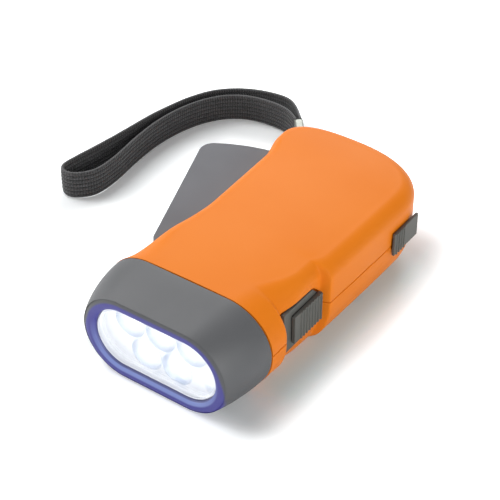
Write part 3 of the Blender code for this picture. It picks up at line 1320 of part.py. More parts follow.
def make_lower_shell():
    body = loft(skin(False, 0)[::-1] + skin(False, WALL))
    shell = add_object("lower_shell", body, ORANGE_PLASTIC)
    core = add_guide("lower_core", loft(skin(False, WALL / 2)))
    top = PARTING_HEIGHT - GAP / 2
    join(shell, switch_pad(SWITCH_PLATE_BOTTOM - SWITCH_PAD_BORDER, top), "switch_pad", core)
    seat = LEVER_BOTTOM - GAP
    bosses = [cylinder(PIVOT, PIVOT_BOSS_RADIUS, 0, seat)]
    bosses += [cylinder(centre, AXLE_BOSS_RADIUS, 0, face) for centre, face, _ in AXLES.values()]
    bosses += [cylinder(spot, SCREW_BOSS_RADIUS, 0, top) for spot in SCREWS.values()]
    bosses.append(cylinder((POST_X, along(POST_FROM_FRONT)), POST_RADIUS, 0, top))
    bosses += cradle_walls() + core_posts()
    join(shell, together(*bosses), "bosses", core)
    bore = AXLE_RADIUS + BORE_CLEARANCE
    holes = [cylinder(PIVOT, PIVOT_PIN_RADIUS + BORE_CLEARANCE, seat - PIVOT_SOCKET_DEPTH, seat + OVERRUN)]
    for centre, face, _ in AXLES.values():
        holes.append(cylinder(centre, bore, face - AXLE_SOCKET_DEPTH, face + OVERRUN))
    shank = SCREW_RADIUS + BORE_CLEARANCE
    for spot in SCREWS.values():
        holes.append(cylinder(spot, shank, SCREW_RECESS_HEIGHT - OVERRUN, top + OVERRUN))
    cut(shell, together(*holes), "holes")
    wide, deep = SCREW_RECESS_RADIUS, SCREW_RECESS_HEIGHT
    recesses = [cylinder(spot, wide, -OVERRUN, deep) for spot in SCREWS.values()]
    cut(shell, together(*recesses), "screw_recesses")
    cut(shell, strap_window(), "strap_window")
    cut_side_openings(shell)


# Wrist strap, its ferrule and its cord

FERRULE_CENTRE = Vector((FERRULE_X, along(FERRULE_FROM_FRONT)))
FERRULE_WAY = Vector((cos(FERRULE_HEADING), sin(FERRULE_HEADING)))
FERRULE_SIDE = Vector((-FERRULE_WAY.y, FERRULE_WAY.x))
STRAP_MIDDLE = STRAP_FLOOR_CLEARANCE + STRAP_WIDTH / 2


def make_ferrule():
    half_long, half_thick = FERRULE_LENGTH / 2, FERRULE_THICKNESS / 2
    plan = [
        FERRULE_CENTRE + FERRULE_WAY * ahead * half_long + FERRULE_SIDE * aside * half_thick
        for ahead, aside in ((-1, -1), (1, -1), (1, 1), (-1, 1))
    ]
    half = FERRULE_HEIGHT / 2
    body = prism(plan, STRAP_MIDDLE - half, STRAP_MIDDLE + half, FERRULE_ROUNDING)
    add_object("strap_ferrule", body, BRIGHT_STEEL)


def make_strap_loop():
    """The cord that goes round the post in the tail, with both its ends in the ferrule."""
    post = Vector((POST_X, along(POST_FROM_FRONT)))
    end = FERRULE_CENTRE - FERRULE_WAY * (FERRULE_LENGTH / 2 + GAP)
    heading = atan2(end.y - post.y, end.x - post.x)
    strands = []
    for side in (-1, 1):
        start = polar(post, LOOP_WRAP_RADIUS, heading + side * pi / 2)
        target = end + FERRULE_SIDE * side * LOOP_SPREAD
        shares = [step / 12 for step in range(1, 13)]
        strands.append(
            [(*start.lerp(target, share), mix(LOOP_HEIGHT, STRAP_MIDDLE, smooth(share))) for share in shares]
        )
    turns = [heading - pi / 2 - pi * step / 8 for step in range(9)]
    wrap = [(*polar(post, LOOP_WRAP_RADIUS, turn), LOOP_HEIGHT) for turn in turns]
    add_tube("strap_loop", strands[0][::-1] + wrap + strands[1], LOOP_CORD_RADIUS, BLACK_WEBBING, 2)


def smooth_route(points, step):
    """Evenly spaced points on a smooth curve through the route's own points."""
    fine = []
    for index in range(len(points) - 1):
        before = points[max(index - 1, 0)]
        start, end = points[index], points[index + 1]
        after = points[min(index + 2, len(points) - 1)]
        for t in spread(0, 1, 12):
            linear = (end - before) * t
            square = (before * 2 - start * 5 + end * 4 - after) * t ** 2
            cube = (start * 3 - before - end * 3 + after) * t ** 3
            fine.append(start + (linear + square + cube) / 2)
    fine.append(points[-1])
    total = sum((b - a).length for a, b in zip(fine, fine[1:]))
    count = max(int(total / step), 2)
    pace = total / count
    spaced, walked = [fine[0]], 0
    for a, b in zip(fine, fine[1:]):
        piece = (b - a).length
        while walked + piece >= pace * len(spaced) and len(spaced) < count:
            spaced.append(a.lerp(b, (pace * len(spaced) - walked) / piece))
        walked += piece
    return spaced + [fine[-1]]


def make_wrist_strap():
    """The webbing on its edge, from the ferrule round its bend and back to the ferrule."""
    face = FERRULE_CENTRE + FERRULE_WAY * (FERRULE_LENGTH / 2 + GAP)
    aside = FERRULE_SIDE * (STRAP_THICKNESS / 2 + GAP / 2)
    route = [Vector((x, along(from_front))) for x, from_front in STRAP_ROUTE]
    points = smooth_route([face + aside] + route + [face - aside], STRAP_STEP)
    low, high = STRAP_FLOOR_CLEARANCE, STRAP_FLOOR_CLEARANCE + STRAP_WIDTH
    rings = []
    for index, point in enumerate(points):
        way = points[min(index + 1, len(points) - 1)] - points[max(index - 1, 0)]
        if index in (0, len(points) - 1):
            way = FERRULE_WAY * (1 if index == 0 else -1)
        side = Vector((-way.y, way.x)).normalized() * STRAP_THICKNESS / 2
        left, right = point + side, point - side
        rings.append([(*left, low), (*right, low), (*right, high), (*left, high)])
    add_object("wrist_strap", loft(rings), BLACK_WEBBING)


def main():
    for old in list(bpy.data.objects):
        bpy.data.objects.remove(old)
    make_upper_shell()
    make_lower_shell()
    make_head_cap()
    make_lens()
    make_reflector()
    make_leds()
    make_led_board()
    make_lever()
    make_pivot_pin()
    make_return_spring()
    make_gears()
    make_axles()
    make_flywheel()
    make_magnet()
    make_stator()
    make_coil()
    make_switch_plate()
    make_switch_slider()
    make_switch_contact()
    make_lock()
    make_cells()
    make_cell_contacts()
    make_screws()
    make_ferrule()
    make_strap_loop()
    make_wrist_strap()


main()
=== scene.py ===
import json
from math import atan2, cos, pi, radians, sin, sqrt

import bmesh
import bpy
from bpy.props import FloatProperty, FloatVectorProperty, IntProperty, PointerProperty
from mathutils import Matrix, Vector


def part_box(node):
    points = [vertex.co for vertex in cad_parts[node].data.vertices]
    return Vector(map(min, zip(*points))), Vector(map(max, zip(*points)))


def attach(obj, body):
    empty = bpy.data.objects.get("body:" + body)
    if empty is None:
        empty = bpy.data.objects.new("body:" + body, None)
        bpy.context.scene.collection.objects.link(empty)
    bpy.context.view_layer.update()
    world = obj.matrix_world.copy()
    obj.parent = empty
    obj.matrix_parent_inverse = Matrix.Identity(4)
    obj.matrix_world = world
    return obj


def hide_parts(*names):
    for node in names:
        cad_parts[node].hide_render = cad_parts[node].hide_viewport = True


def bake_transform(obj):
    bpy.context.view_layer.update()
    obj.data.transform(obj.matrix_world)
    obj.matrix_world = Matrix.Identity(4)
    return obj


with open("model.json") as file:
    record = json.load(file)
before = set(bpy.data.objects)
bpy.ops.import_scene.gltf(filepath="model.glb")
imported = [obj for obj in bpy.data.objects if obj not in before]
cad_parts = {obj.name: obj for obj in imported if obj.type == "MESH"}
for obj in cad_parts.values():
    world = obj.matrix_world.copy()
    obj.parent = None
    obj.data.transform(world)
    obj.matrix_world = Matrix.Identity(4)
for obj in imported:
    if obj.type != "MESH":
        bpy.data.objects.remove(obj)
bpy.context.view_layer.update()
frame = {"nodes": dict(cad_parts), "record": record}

bl_info = {
    "name": "Squeeze Torch Dresser",
    "version": (1, 0, 0),
    "blender": (4, 5, 0),
    "location": "View3D > Sidebar > Torch",
    "description": "Finishes a hand-powered torch: housing, head, lever, sliders, strap and stage",
    "category": "Object",
}

HOUSING = "housing"
JOINTS = {joint["name"]: joint for joint in frame["record"]["behaviour"]["joints"]}
PIVOT = Vector(JOINTS["lever_squeeze"]["pos_m"])
UPPER = [Vector(corner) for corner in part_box("upper_shell")]
LOWER = [Vector(corner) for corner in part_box("lower_shell")]
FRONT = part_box("head_cap")[0][1]
SEAM = UPPER[0].y - FRONT
TAIL = UPPER[1].y - FRONT
TOP = UPPER[1].z
HALF_WIDTH = UPPER[1].x
PARTING = (UPPER[0].z + LOWER[1].z) / 2
PARTING_GAP = UPPER[0].z - LOWER[1].z


# Settings


def colour(name, description, value):
    return FloatVectorProperty(
        name=name, description=description, subtype="COLOR", size=3, min=0, max=1, default=value
    )


def length(name, description, value):
    return FloatProperty(
        name=name, description=description, unit="LENGTH", subtype="DISTANCE", min=0, default=value
    )


class HousingSettings(bpy.types.PropertyGroup):
    shell: colour("Shell", "Colour of the two housing halves", (0.775, 0.203, 0.0105))
    shade: colour("Shell in corners", "Deeper tone of the shell's plastic", (0.755, 0.191, 0.0085))
    wall: length("Wall", "Thickness of the housing's wall", 0.0018)
    seam_edge: length("Seam edge", "Round of the edges along the parting seam", 0.00018)
    seam_half_width: length("Seam half width", "Half width behind the head cap", 0.0266)
    waist_half_width: length("Waist", "Reach of the lever side at the waist", 0.0179)
    waist: length("Waist place", "Waist's distance from the front", 0.0500)
    flare: FloatProperty(name="Flare", description="Sharpness of the flare to the head", default=1.8)
    lean: length("Lean", "Widening of the lever side to the tail", 0.0014)
    shoulder: length("Shoulder", "Step of the lever side near the tail", 0.0021)
    shoulder_from_tail: length("Shoulder place", "Its start, from the tail", 0.0226)
    shoulder_length: length("Shoulder length", "Length of that step", 0.0110)
    right_tail: length("Right tail", "Length of the slider side's tail round", 0.0196)
    left_tail: length("Left tail", "Length of the lever side's tail round", 0.0096)
    head_radius: length("Head radius", "Round of the sides behind the head", 0.0140)
    head_blend: length("Head blend", "Length over which that round fades", 0.0200)
    top_width: length("Top round width", "Width of the round along the top", 0.0048)
    top_drop: length("Top round drop", "Height of the round along the top", 0.0046)
    crown: length("Crown", "Rise of the top to its middle", 0.0008)
    head_crown: length("Crown at the head", "The same behind the head cap", 0.00015)
    underside: length("Underside round", "Width of the round under the sides", 0.0080)
    hollow: length("Hollow place", "Start of the thumb hollow, from the front", 0.0224)
    hollow_length: length("Hollow length", "Length of the thumb hollow", 0.0190)
    hollow_depth: length("Hollow depth", "Depth of the thumb hollow", 0.0027)
    hollow_front: length("Hollow front edge", "Length of its front slope", 0.0020)
    hollow_rear: length("Hollow rear edge", "Length of its rear slope", 0.0014)
    hollow_pull: length("Hollow pull", "How far the hollow draws in the top edge", 0.0020)
    hollow_reach: length("Hollow reach", "How far that pull fades out", 0.0040)


class HeadSettings(bpy.types.PropertyGroup):
    cap: colour("Cap", "Colour of the head cap", (0.068, 0.070, 0.075))
    # Lamp light painted on the lip: a blue-violet glow and a paler painted highlight band under the lens. The beam
    # colour is the lamps' own, also painted on the cups as glow.
    glow: colour("Glow", "Colour that the lamps give the lip", (0.026, 0.022, 0.175))
    glow_light: colour("Light glow", "Paler band under the lens", (0.16, 0.21, 0.44))
    beam: colour("Beam", "Colour of the lit cups", (1.0, 1.0, 1.0))
    lens_half_width: length("Lens half width", "Half the lens's width", 0.0193)
    lens_half_height: length("Lens half height", "Half the lens's height", 0.0091)
    lens_height: length("Lens centre", "Height of the lens's centre", 0.0133)
    rim_half_width: length("Rim half width", "Half width of the head's front rim", 0.0228)
    rim_half_height: length("Rim half height", "Half height of the front rim", 0.0126)
    rim_rounding: length("Rim round", "Round of the front rim", 0.0012)
    lip_width: length("Lip", "Width of the sloping lip round the lens", 0.0018)
    lip_depth: length("Lip depth", "Depth of that lip", 0.0014)
    cup_pitch: length("Cup pitch", "Distance between neighbouring cups", 0.0100)
    cup_radius: length("Cup radius", "Radius of a cup at its mouth", 0.0048)
    lamp_hole: length("Lamp hole", "Radius of the hole for a lamp", 0.0030)


class LeverSettings(bpy.types.PropertyGroup):
    body: colour("Lever", "Colour of the squeeze lever", (0.150, 0.153, 0.166))
    edge: length("Edge", "Width of the softened edges", 0.00040)


class SliderSettings(bpy.types.PropertyGroup):
    body: colour("Sliders", "Colour of the thumb sliders", (0.118, 0.118, 0.108))
    edge: length("Edge", "Width of the softened edges", 0.00016)
    thickness: length("Thickness", "Thickness of the switch's grip", 0.0010)
    ribs: IntProperty(name="Ribs", description="Ribs on the switch's grip", default=8, min=1)
    rib_pitch: length("Rib pitch", "Distance from rib to rib", 0.00135)
    rib_depth: length("Rib depth", "Height of a rib", 0.0003)


class StrapSettings(bpy.types.PropertyGroup):
    yarn: colour("Yarn", "Colour of the webbing", (0.027, 0.027, 0.028))
    worn: colour("Raised yarn", "Colour of the webbing's raised threads and edges", (0.125, 0.125, 0.128))
    width: length("Width", "Width of the webbing", 0.0096)
    thickness: length("Thickness", "Thickness of the webbing", 0.0012)
    ribs: IntProperty(name="Ribs", description="Lengthwise ribs over the width", default=7, min=1)
    groove: length("Groove", "Depth of the grooves between the ribs", 0.00014)
    cord: length("Cord", "Diameter of the cord at the tail", 0.0013)


class StageSettings(bpy.types.PropertyGroup):
    floor: colour("Floor", "Colour of the floor", (0.87, 0.90, 0.91))
    # Painted floor light, weaker near the torch and the strap, and a painted cool tint beside the shell against its
    # reflected orange light.
    floor_light: FloatProperty(name="Floor light", description="Light the floor adds near the torch", default=0.04)
    floor_light_far: FloatProperty(name="Far floor light", description="Light it adds farther out", default=0.70)
    floor_light_strap: FloatProperty(name="Floor light at strap", description="Light it adds there", default=0.16)
    floor_cool: colour("Floor beside", "Its colour where the shell reflects on it", (0.60, 0.83, 0.89))
    pool_inset: length("Pool inset", "How far inside the torch's edge the floor starts to brighten", 0.003)
    pool_front: length("Pool front", "The same at the lamp end", 0.008)
    pool_reach: length("Pool reach", "Distance from there at which it is fully bright", 0.0185)
    camera_turn: FloatProperty(
        name="Turn", description="Camera's turn round the torch", subtype="ANGLE", default=radians(35.2)
    )
    camera_rise: FloatProperty(
        name="Rise", description="Camera's height angle", subtype="ANGLE", default=radians(38.27)
    )
    camera_distance: length("Distance", "Camera's distance from its target", 0.405)
    lens: FloatProperty(name="Focal length", description="In millimetres", default=103.49, min=1)
    key: FloatProperty(name="Key light", description="Power of the large soft light", unit="POWER", default=7.6)
    fill: FloatProperty(name="Surroundings", description="Brightness of the surroundings", default=0.22)


# Shader maths


class Wire:
    """A node's output; sums with it add Math nodes."""

    def __init__(self, maker, socket):
        self.maker = maker
        self.socket = socket

    def math(self, operation, *values):
        return self.maker.node("ShaderNodeMath", {"operation": operation}, *values)

    def __add__(self, other):
        return self.math("ADD", self, other)

    def __sub__(self, other):
        return self.math("SUBTRACT", self, other)

    def __rsub__(self, other):
        return self.math("SUBTRACT", other, self)

    def __mul__(self, other):
        return self.math("MULTIPLY", self, other)

    def __truediv__(self, other):
        return self.math("DIVIDE", self, other)

    def __rtruediv__(self, other):
        return self.math("DIVIDE", other, self)

    def __pow__(self, other):
        return self.math("POWER", self, other)

    __radd__ = __add__
    __rmul__ = __mul__

    def absolute(self):
        return self.math("ABSOLUTE", self)

    def root(self):
        return self.math("SQRT", self)

    def wave(self):
        return self.math("SINE", self)

    def fraction(self):
        return self.math("FRACT", self)

    def least(self, other):
        return self.math("MINIMUM", self, other)

    def most(self, other):
        return self.math("MAXIMUM", self, other)

    def step(self, low, high):
        """0 below low and 1 above high, with a soft step between them."""
        settings = {"interpolation_type": "SMOOTHSTEP"}
        return self.maker.node("ShaderNodeMapRange", settings, self, low, high, 0, 1)


class Finish:
    """A material's node tree with one Principled shader."""

    def __init__(self, name):
        self.material = bpy.data.materials.new(name)
        self.material.use_nodes = True
        self.tree = self.material.node_tree
        self.shader = self.tree.nodes["Principled BSDF"]
        self.output = self.tree.nodes["Material Output"]

    def put(self, socket, value):
        if isinstance(value, Wire):
            self.tree.links.new(value.socket, socket)
        elif hasattr(value, "__len__") and len(socket.default_value) == 4 and len(value) == 3:
            socket.default_value = (*value, 1)
        else:
            socket.default_value = value

    def node(self, kind, settings, *values, out=0, **named):
        """Add a node: its settings first, then its sockets in order or by name."""
        node = self.tree.nodes.new(kind)
        for key, value in settings.items():
            if key == "stops":
                ramp = node.color_ramp.elements
                while len(ramp) < len(value):
                    ramp.new(0.5)
                for element, (place, shade) in zip(ramp, value):
                    element.position = place
                    element.color = (*shade, 1)
            else:
                setattr(node, key, value)
        sockets = [socket for socket in node.inputs if socket.enabled]
        for socket, value in zip(sockets, values):
            self.put(socket, value)
        for key, value in named.items():
            self.put(next(socket for socket in sockets if socket.name == key), value)
        outputs = [socket for socket in node.outputs if socket.enabled]
        return Wire(self, outputs[out])

    def place(self):
        """The x, y and z of Object coordinates."""
        spot = self.node("ShaderNodeTexCoord", {}, out=3)
        return [self.node("ShaderNodeSeparateXYZ", {}, spot, out=way) for way in range(3)]

    def spot(self):
        return self.node("ShaderNodeTexCoord", {}, out=3)

    def noise(self, scale, detail=2, where=None):
        settings = {"noise_dimensions": "3D"}
        named = {"Scale": scale, "Detail": detail}
        return self.node("ShaderNodeTexNoise", settings, Vector=where or self.spot(), **named)

    def blend(self, share, first, second):
        """A colour between two others."""
        return self.node(
            "ShaderNodeMix", {"data_type": "RGBA", "clamp_factor": True}, share, first, second
        )

    def bump(self, height, distance, strength=1.0):
        return self.node("ShaderNodeBump", {}, Strength=strength, Distance=distance, Height=height)

    def set(self, **values):
        names = {
            "colour": "Base Color", "roughness": "Roughness", "metallic": "Metallic", "normal": "Normal",
            "glow": "Emission Color", "glow_strength": "Emission Strength", "alpha": "Alpha",
            "specular": "Specular IOR Level", "sheen": "Sheen Weight", "coat": "Coat Weight",
            "coat_roughness": "Coat Roughness", "ior": "IOR",
        }
        for key, value in values.items():
            self.put(self.shader.inputs[names[key]], value)
        return self.material


def distance_from(x, y, run):
    """Distance in plan from the nearest of a run of straight lines."""
    nearest = None
    for start, end in zip(run, run[1:]):
        way = end - start
        dx, dy = x - start.x, y - start.y
        share = (dx * (way.x / way.length_squared) + dy * (way.y / way.length_squared)).most(0).least(1)
        dx, dy = dx - share * way.x, dy - share * way.y
        reach = dx * dx + dy * dy
        nearest = reach if nearest is None else nearest.least(reach)
    return nearest.root()


def moulded_plastic(name, base, deep, roughness=0.46, grain=1.0):
    """Satin plastic with a fine spark-eroded grain and a soft change of tone."""
    finish = Finish(name)
    drift = finish.noise(42, 3)
    fine = finish.noise(2600, 4)
    spots = finish.noise(900, 2)
    shade = finish.blend(drift.step(0.30, 0.75), base, deep)
    gloss = drift * 0.08 + fine * 0.10 + (roughness - 0.09)
    height = fine * 0.7 + spots * 0.3
    finish.set(
        colour=shade, roughness=gloss, normal=finish.bump(height, 0.00003 * grain, 0.35), specular=0.13
    )
    return finish


def plain_metal(name, shade, roughness, streaks=(900, 900, 60)):
    """Drawn or turned metal with fine streaks."""
    finish = Finish(name)
    spot = finish.node("ShaderNodeMapping", {}, finish.spot(), Scale=streaks)
    lines = finish.noise(1, 3, spot)
    tone = finish.blend(lines, shade, tuple(channel * 0.72 for channel in shade))
    rough = lines * 0.16 + (roughness - 0.06)
    return finish.set(colour=tone, metallic=1.0, roughness=rough, normal=finish.bump(lines, 0.00001, 0.3))


def lens_distance(finish, head, x, z):
    """Metres outward from the lens's edge, over the front of the head."""
    straight = head.lens_half_width - head.lens_half_height
    across = (x.absolute() - straight).most(0)
    up = z - head.lens_height
    return (across * across + up * up).root() - head.lens_half_height


def cap_plastic(head):
    """Grey satin cap, with the blue-violet light of its own lamps painted on the lip round the lens."""
    deep = tuple(channel * 0.86 for channel in head.cap)
    finish = moulded_plastic("cap_satin_grey", head.cap, deep, 0.56)
    x, y, z = finish.place()
    out = lens_distance(finish, head, x, z)
    # Painted lamp light: stronger low on the lip, which faces the lamps' light, and only near the lens on the front
    # face.
    low = ((head.lens_height + 0.003 - z) / 0.012).most(0).least(1)
    reach = low * 0.0020 + 0.0027
    near = 1 - (out - reach).step(-0.0004, 0.0004)
    facing = 1 - (y - FRONT).step(0.0008, 0.0024)
    lip = near * facing
    # A paler painted highlight band in that light, and a thin darker line next to the lens.
    painted_highlight_band = (1 - ((out - 0.0009).absolute() / 0.0009).step(0.3, 1)) * low
    line = (1 - ((out - 0.00035).absolute() / 0.0003).step(0.3, 1)) * low
    painted_lamp_glow = finish.blend(painted_highlight_band * 0.8, head.glow, head.glow_light)
    painted_lamp_glow = finish.blend(line * 0.8, painted_lamp_glow, (0.03, 0.03, 0.11))
    # Base colour and glow both carry the painted lamp light on the lip.
    grey = finish.shader.inputs["Base Color"].links[0].from_socket
    shade = finish.blend(lip, Wire(finish, grey), painted_lamp_glow)
    light = finish.blend(lip, (0, 0, 0), painted_lamp_glow)
    return finish.set(colour=shade, glow=light, glow_strength=0.32, specular=0.62)


def lit_reflector(head):
    """Plated cups with their lamps' light painted on as a glow, a little cooler towards each cup's rim as painted
    shade.
    """
    finish = Finish("lit_cups")
    x, y, z = finish.place()
    nearest = None
    for across, up in cup_places(head):
        dx = x - across
        dz = z - up
        reach = (dx * dx + dz * dz).root()
        nearest = reach if nearest is None else nearest.least(reach)
    # Painted shade in the painted glow: cooler rings at each cup's rim and inside it, and cooler patches.
    rim = 1 - ((nearest - 0.0048).absolute() / 0.0004).step(0.1, 1)
    inner = 1 - ((nearest - 0.0031).absolute() / 0.0003).step(0.1, 1)
    swirl = finish.noise(260, 3)
    patches = finish.noise(150, 1).step(0.60, 0.70)
    painted_cup_shade = (rim * 0.75 + inner * 0.4 + swirl.step(0.52, 0.75) * 0.25 + patches * 0.5).least(1)
    light = finish.blend(painted_cup_shade, head.beam, (0.10, 0.19, 0.36))
    return finish.set(
        colour=(0.48, 0.50, 0.54), metallic=1.0, roughness=0.35, glow=light, glow_strength=0.46
    )


def lamp_resin(head):
    finish = Finish("lit_lamp_resin")
    x, y, z = finish.place()
    depth = (y - FRONT).step(0.004, 0.010)
    light = finish.blend(depth, head.beam, (0.80, 0.88, 1.0))
    haze = finish.noise(1500, 2)
    return finish.set(
        colour=(0.93, 0.95, 1.0), roughness=haze * 0.1 + 0.08, glow=light, glow_strength=1.0
    )


def clear_lens():
    """Thin clear window; the mask keeps most of it see-through, with a milky moulded edge, and a white glow painted on
    it stands for the lamps' light.
    """
    finish = Finish("clear_window")
    haze = finish.noise(700, 2)
    x, y, z = finish.place()
    out = lens_distance(finish, bpy.context.scene.torch_head, x, z)
    edge = out.step(-0.0009, -0.0001)
    # The white glow on the window is painted lamp light.
    return finish.set(
        colour=(0.90, 0.94, 1.0), roughness=haze * 0.05 + 0.04, alpha=edge * 0.35 + 0.10, specular=0.6,
        glow=(1.0, 1.0, 1.0), glow_strength=0.34,
    )


def woven_yarn(strap):
    """Webbing: lengthwise ribs of slanting threads, lighter where they stand up and at the edges; the lighter crowns
    and darker grooves are partly painted highlight and painted shade.
    """
    finish = Finish("black_webbing")
    run = finish.node("ShaderNodeUVMap", {"uv_map": "weave"})
    along, across = [
        finish.node("ShaderNodeSeparateXYZ", {}, run, out=way) for way in range(2)
    ]
    rows = across * strap.ribs
    row = rows.fraction()
    crown = 1 - ((row - 0.5).absolute() * 2) ** 2.5
    slant = (row - 0.5).absolute() * 0.9
    thread = ((along / 0.00085 + slant) * (2 * pi)).wave() * 0.5 + 0.5
    fluff = finish.noise(3200, 3)
    # Painted highlight on the rib crowns and painted shade in the grooves, broken up by fuzz.
    high = crown * 0.45 + thread * crown * 0.55
    edge = ((across - 0.5).absolute() * 2).step(0.90, 0.99)
    light = (high * fluff.step(0.25, 0.70) * 1.05 + edge * 0.75).least(1)
    shade = finish.blend(light, strap.yarn, strap.worn)
    return finish.set(
        colour=shade, roughness=0.86 - high * 0.10, normal=finish.bump(high + fluff * 0.3, 0.00034, 1.0),
        sheen=0.15, specular=0.25,
    )


def braided_cord(strap):
    finish = Finish("black_braid")
    x, y, z = finish.place()
    run = (x * 0.5 + y * 0.85 + z * 0.3) * 5200
    cross = (x * 0.85 - y * 0.5 - z * 0.3) * 5200
    # The braid's raised strands are lighter: its pattern, partly painted sheen.
    braid = run.wave() * cross.wave() * 0.5 + 0.5
    shade = finish.blend(braid, strap.yarn, strap.worn)
    return finish.set(colour=shade, roughness=0.82, normal=finish.bump(braid, 0.0001, 0.7), specular=0.25)


def circuit_board():
    finish = Finish("green_solder_mask")
    tracks = finish.node("ShaderNodeTexVoronoi", {"feature": "DISTANCE_TO_EDGE"}, Scale=420)
    shade = finish.blend(tracks.step(0.04, 0.09), (0.09, 0.30, 0.12), (0.03, 0.16, 0.06))
    return finish.set(colour=shade, roughness=0.38, normal=finish.bump(tracks, 0.00003, 0.4))


def coil_wire():
    """Enamelled copper wound side by side."""
    finish = Finish("enamelled_copper")
    x, y, z = finish.place()
    turns = (x * (2 * pi / 0.00024)).wave() * 0.5 + 0.5
    shade = finish.blend(turns, (0.42, 0.13, 0.05), (0.80, 0.34, 0.15))
    return finish.set(
        colour=shade, metallic=0.9, roughness=0.34 - turns * 0.08, normal=finish.bump(turns, 0.00008, 0.8)
    )


# Mesh helpers


def new_piece(name, builder, material, smooth=40):
    bmesh.ops.recalc_face_normals(builder, faces=builder.faces)
    mesh = bpy.data.meshes.new(name)
    builder.to_mesh(mesh)
    builder.free()
    mesh.materials.append(material)
    piece = bpy.data.objects.new(name, mesh)
    bpy.context.scene.collection.objects.link(piece)
    smooth_shade(piece, smooth)
    return piece


def dress(node, material):
    """Give a CAD node its finish."""
    mesh = frame["nodes"][node].data
    mesh.materials.clear()
    mesh.materials.append(material)


def soften(node, width, flat=2.0, angle=32):
    """Round a CAD node's sharp edges without touching its mesh."""
    part = frame["nodes"][node]
    weld = part.modifiers.new("weld", "WELD")
    weld.merge_threshold = 0.000002
    flatten = part.modifiers.new("flatten", "DECIMATE")
    flatten.decimate_type = "DISSOLVE"
    flatten.angle_limit = radians(flat)
    bevel = part.modifiers.new("round", "BEVEL")
    bevel.width = width
    bevel.segments = 2
    bevel.limit_method = "ANGLE"
    bevel.angle_limit = radians(angle)
    bevel.harden_normals = False
    normals = part.modifiers.new("normals", "WEIGHTED_NORMAL")
    normals.keep_sharp = False


def mix(start, end, share):
    return start + (end - start) * share


def ease(share):
    """A soft step from 0 to 1."""
    share = min(max(share, 0), 1)
    return share * share * (3 - 2 * share)


def spread(start, end, count):
    """Evenly spaced values, the last one left out."""
    return [mix(start, end, step / count) for step in range(count)]


def arc(centre, radius, start, end, steps):
    turns = [mix(start, end, step / steps) for step in range(steps + 1)]
    return [Vector((centre[0] + radius * cos(turn), centre[1] + radius * sin(turn))) for turn in turns]


def extrude_rings(rings, closed=False):
    """Extrude the first ring's edges through the others; gives the bmesh and each ring's vertices."""
    builder = bmesh.new()
    loop = [builder.verts.new(point) for point in rings[0]]
    edges = [builder.edges.new((corner, loop[index - 1])) for index, corner in enumerate(loop)]
    loops = [loop]
    if not closed:
        builder.faces.new(loop)
    for ring in rings[1:] + rings[:closed]:
        made = bmesh.ops.extrude_edge_only(builder, edges=edges)["geom"]
        fresh = {item for item in made if isinstance(item, bmesh.types.BMVert)}
        edges = [item for item in made if isinstance(item, bmesh.types.BMEdge) and fresh.issuperset(item.verts)]
        loop = [
            next(edge.other_vert(corner) for edge in corner.link_edges if edge.other_vert(corner) in fresh)
            for corner in loop
        ]
        for corner, point in zip(loop, ring):
            corner.co = point
        loops.append(loop)
    if closed:
        bmesh.ops.remove_doubles(builder, verts=builder.verts, dist=0.0000001)
    else:
        builder.faces.new(loop)
    bmesh.ops.recalc_face_normals(builder, faces=builder.faces)
    return builder, loops


def loft(rings, closed=False):
    """Skin a run of rings with equal point counts, with flat ends unless it closes on itself."""
    return extrude_rings(rings, closed)[0]


def upright(outline, bottom, top):
    """A prism on a plan outline."""
    return loft([[(x, y, level) for x, y in outline] for level in (bottom, top)])


def sideways(outline, left, right):
    """A prism along X on an outline of (y, z) points."""
    return loft([[(x, y, z) for y, z in outline] for x in (left, right)])


def block(low, high):
    outline = [(low[0], low[1]), (high[0], low[1]), (high[0], high[1]), (low[0], high[1])]
    return upright(outline, low[2], high[2])


def post(centre, radius, bottom, top, steps=32):
    return upright(arc(centre, radius, 0, 2 * pi, steps)[:-1], bottom, top)


def together(builders):
    """Several closed solids in one bmesh, for one Boolean."""
    whole = bmesh.new()
    for builder in builders:
        mesh = bpy.data.meshes.new("together")
        builder.to_mesh(mesh)
        builder.free()
        whole.from_mesh(mesh)
        bpy.data.meshes.remove(mesh)
    return whole


def shape(piece, operation, builder, within=None):
    """Apply a Boolean with a solid that is then thrown away, trimmed first by another solid if given."""
    tool = new_piece("tool", builder, None)
    if within:
        boolean(tool, "INTERSECT", within)
    boolean(piece, operation, tool)
    bpy.data.objects.remove(tool)


def boolean(piece, operation, tool):
    modifier = piece.modifiers.new("boolean", "BOOLEAN")
    modifier.operation = operation
    modifier.solver = "EXACT"
    modifier.object = tool
    with bpy.context.temp_override(object=piece, active_object=piece):
        bpy.ops.object.modifier_apply(modifier="boolean")


def clean(piece):
    """Merge the doubled corners and drop the needle faces that Booleans leave."""
    builder = bmesh.new()
    builder.from_mesh(piece.data)
    bmesh.ops.remove_doubles(builder, verts=builder.verts, dist=0.000004)
    bmesh.ops.dissolve_degenerate(builder, edges=builder.edges, dist=0.000004)
    bmesh.ops.recalc_face_normals(builder, faces=builder.faces)
    builder.to_mesh(piece.data)
    builder.free()


def smooth_shade(piece, angle):
    piece.data.shade_smooth()
    piece.data.set_sharp_from_angle(angle=radians(angle))


# The housing's shape, as distances from the front rim


def right_edge(form, place):
    """Half width on the slider side, without the thumb hollow."""
    share = (place - SEAM) / (TAIL - form.right_tail - SEAM)
    return mix(form.seam_half_width, HALF_WIDTH, ease(share))


def left_edge(form, place):
    """Half width on the lever side: a flare to the head, a lean and a shoulder to the tail."""
    if place < form.waist:
        share = (form.waist - place) / (form.waist - SEAM)
        return mix(form.waist_half_width, form.seam_half_width, share ** form.flare)
    lean = (place - form.waist) / (TAIL - form.left_tail - form.waist)
    step = ease((place - TAIL + form.shoulder_from_tail) / form.shoulder_length)
    return form.waist_half_width + form.lean * lean + form.shoulder * step


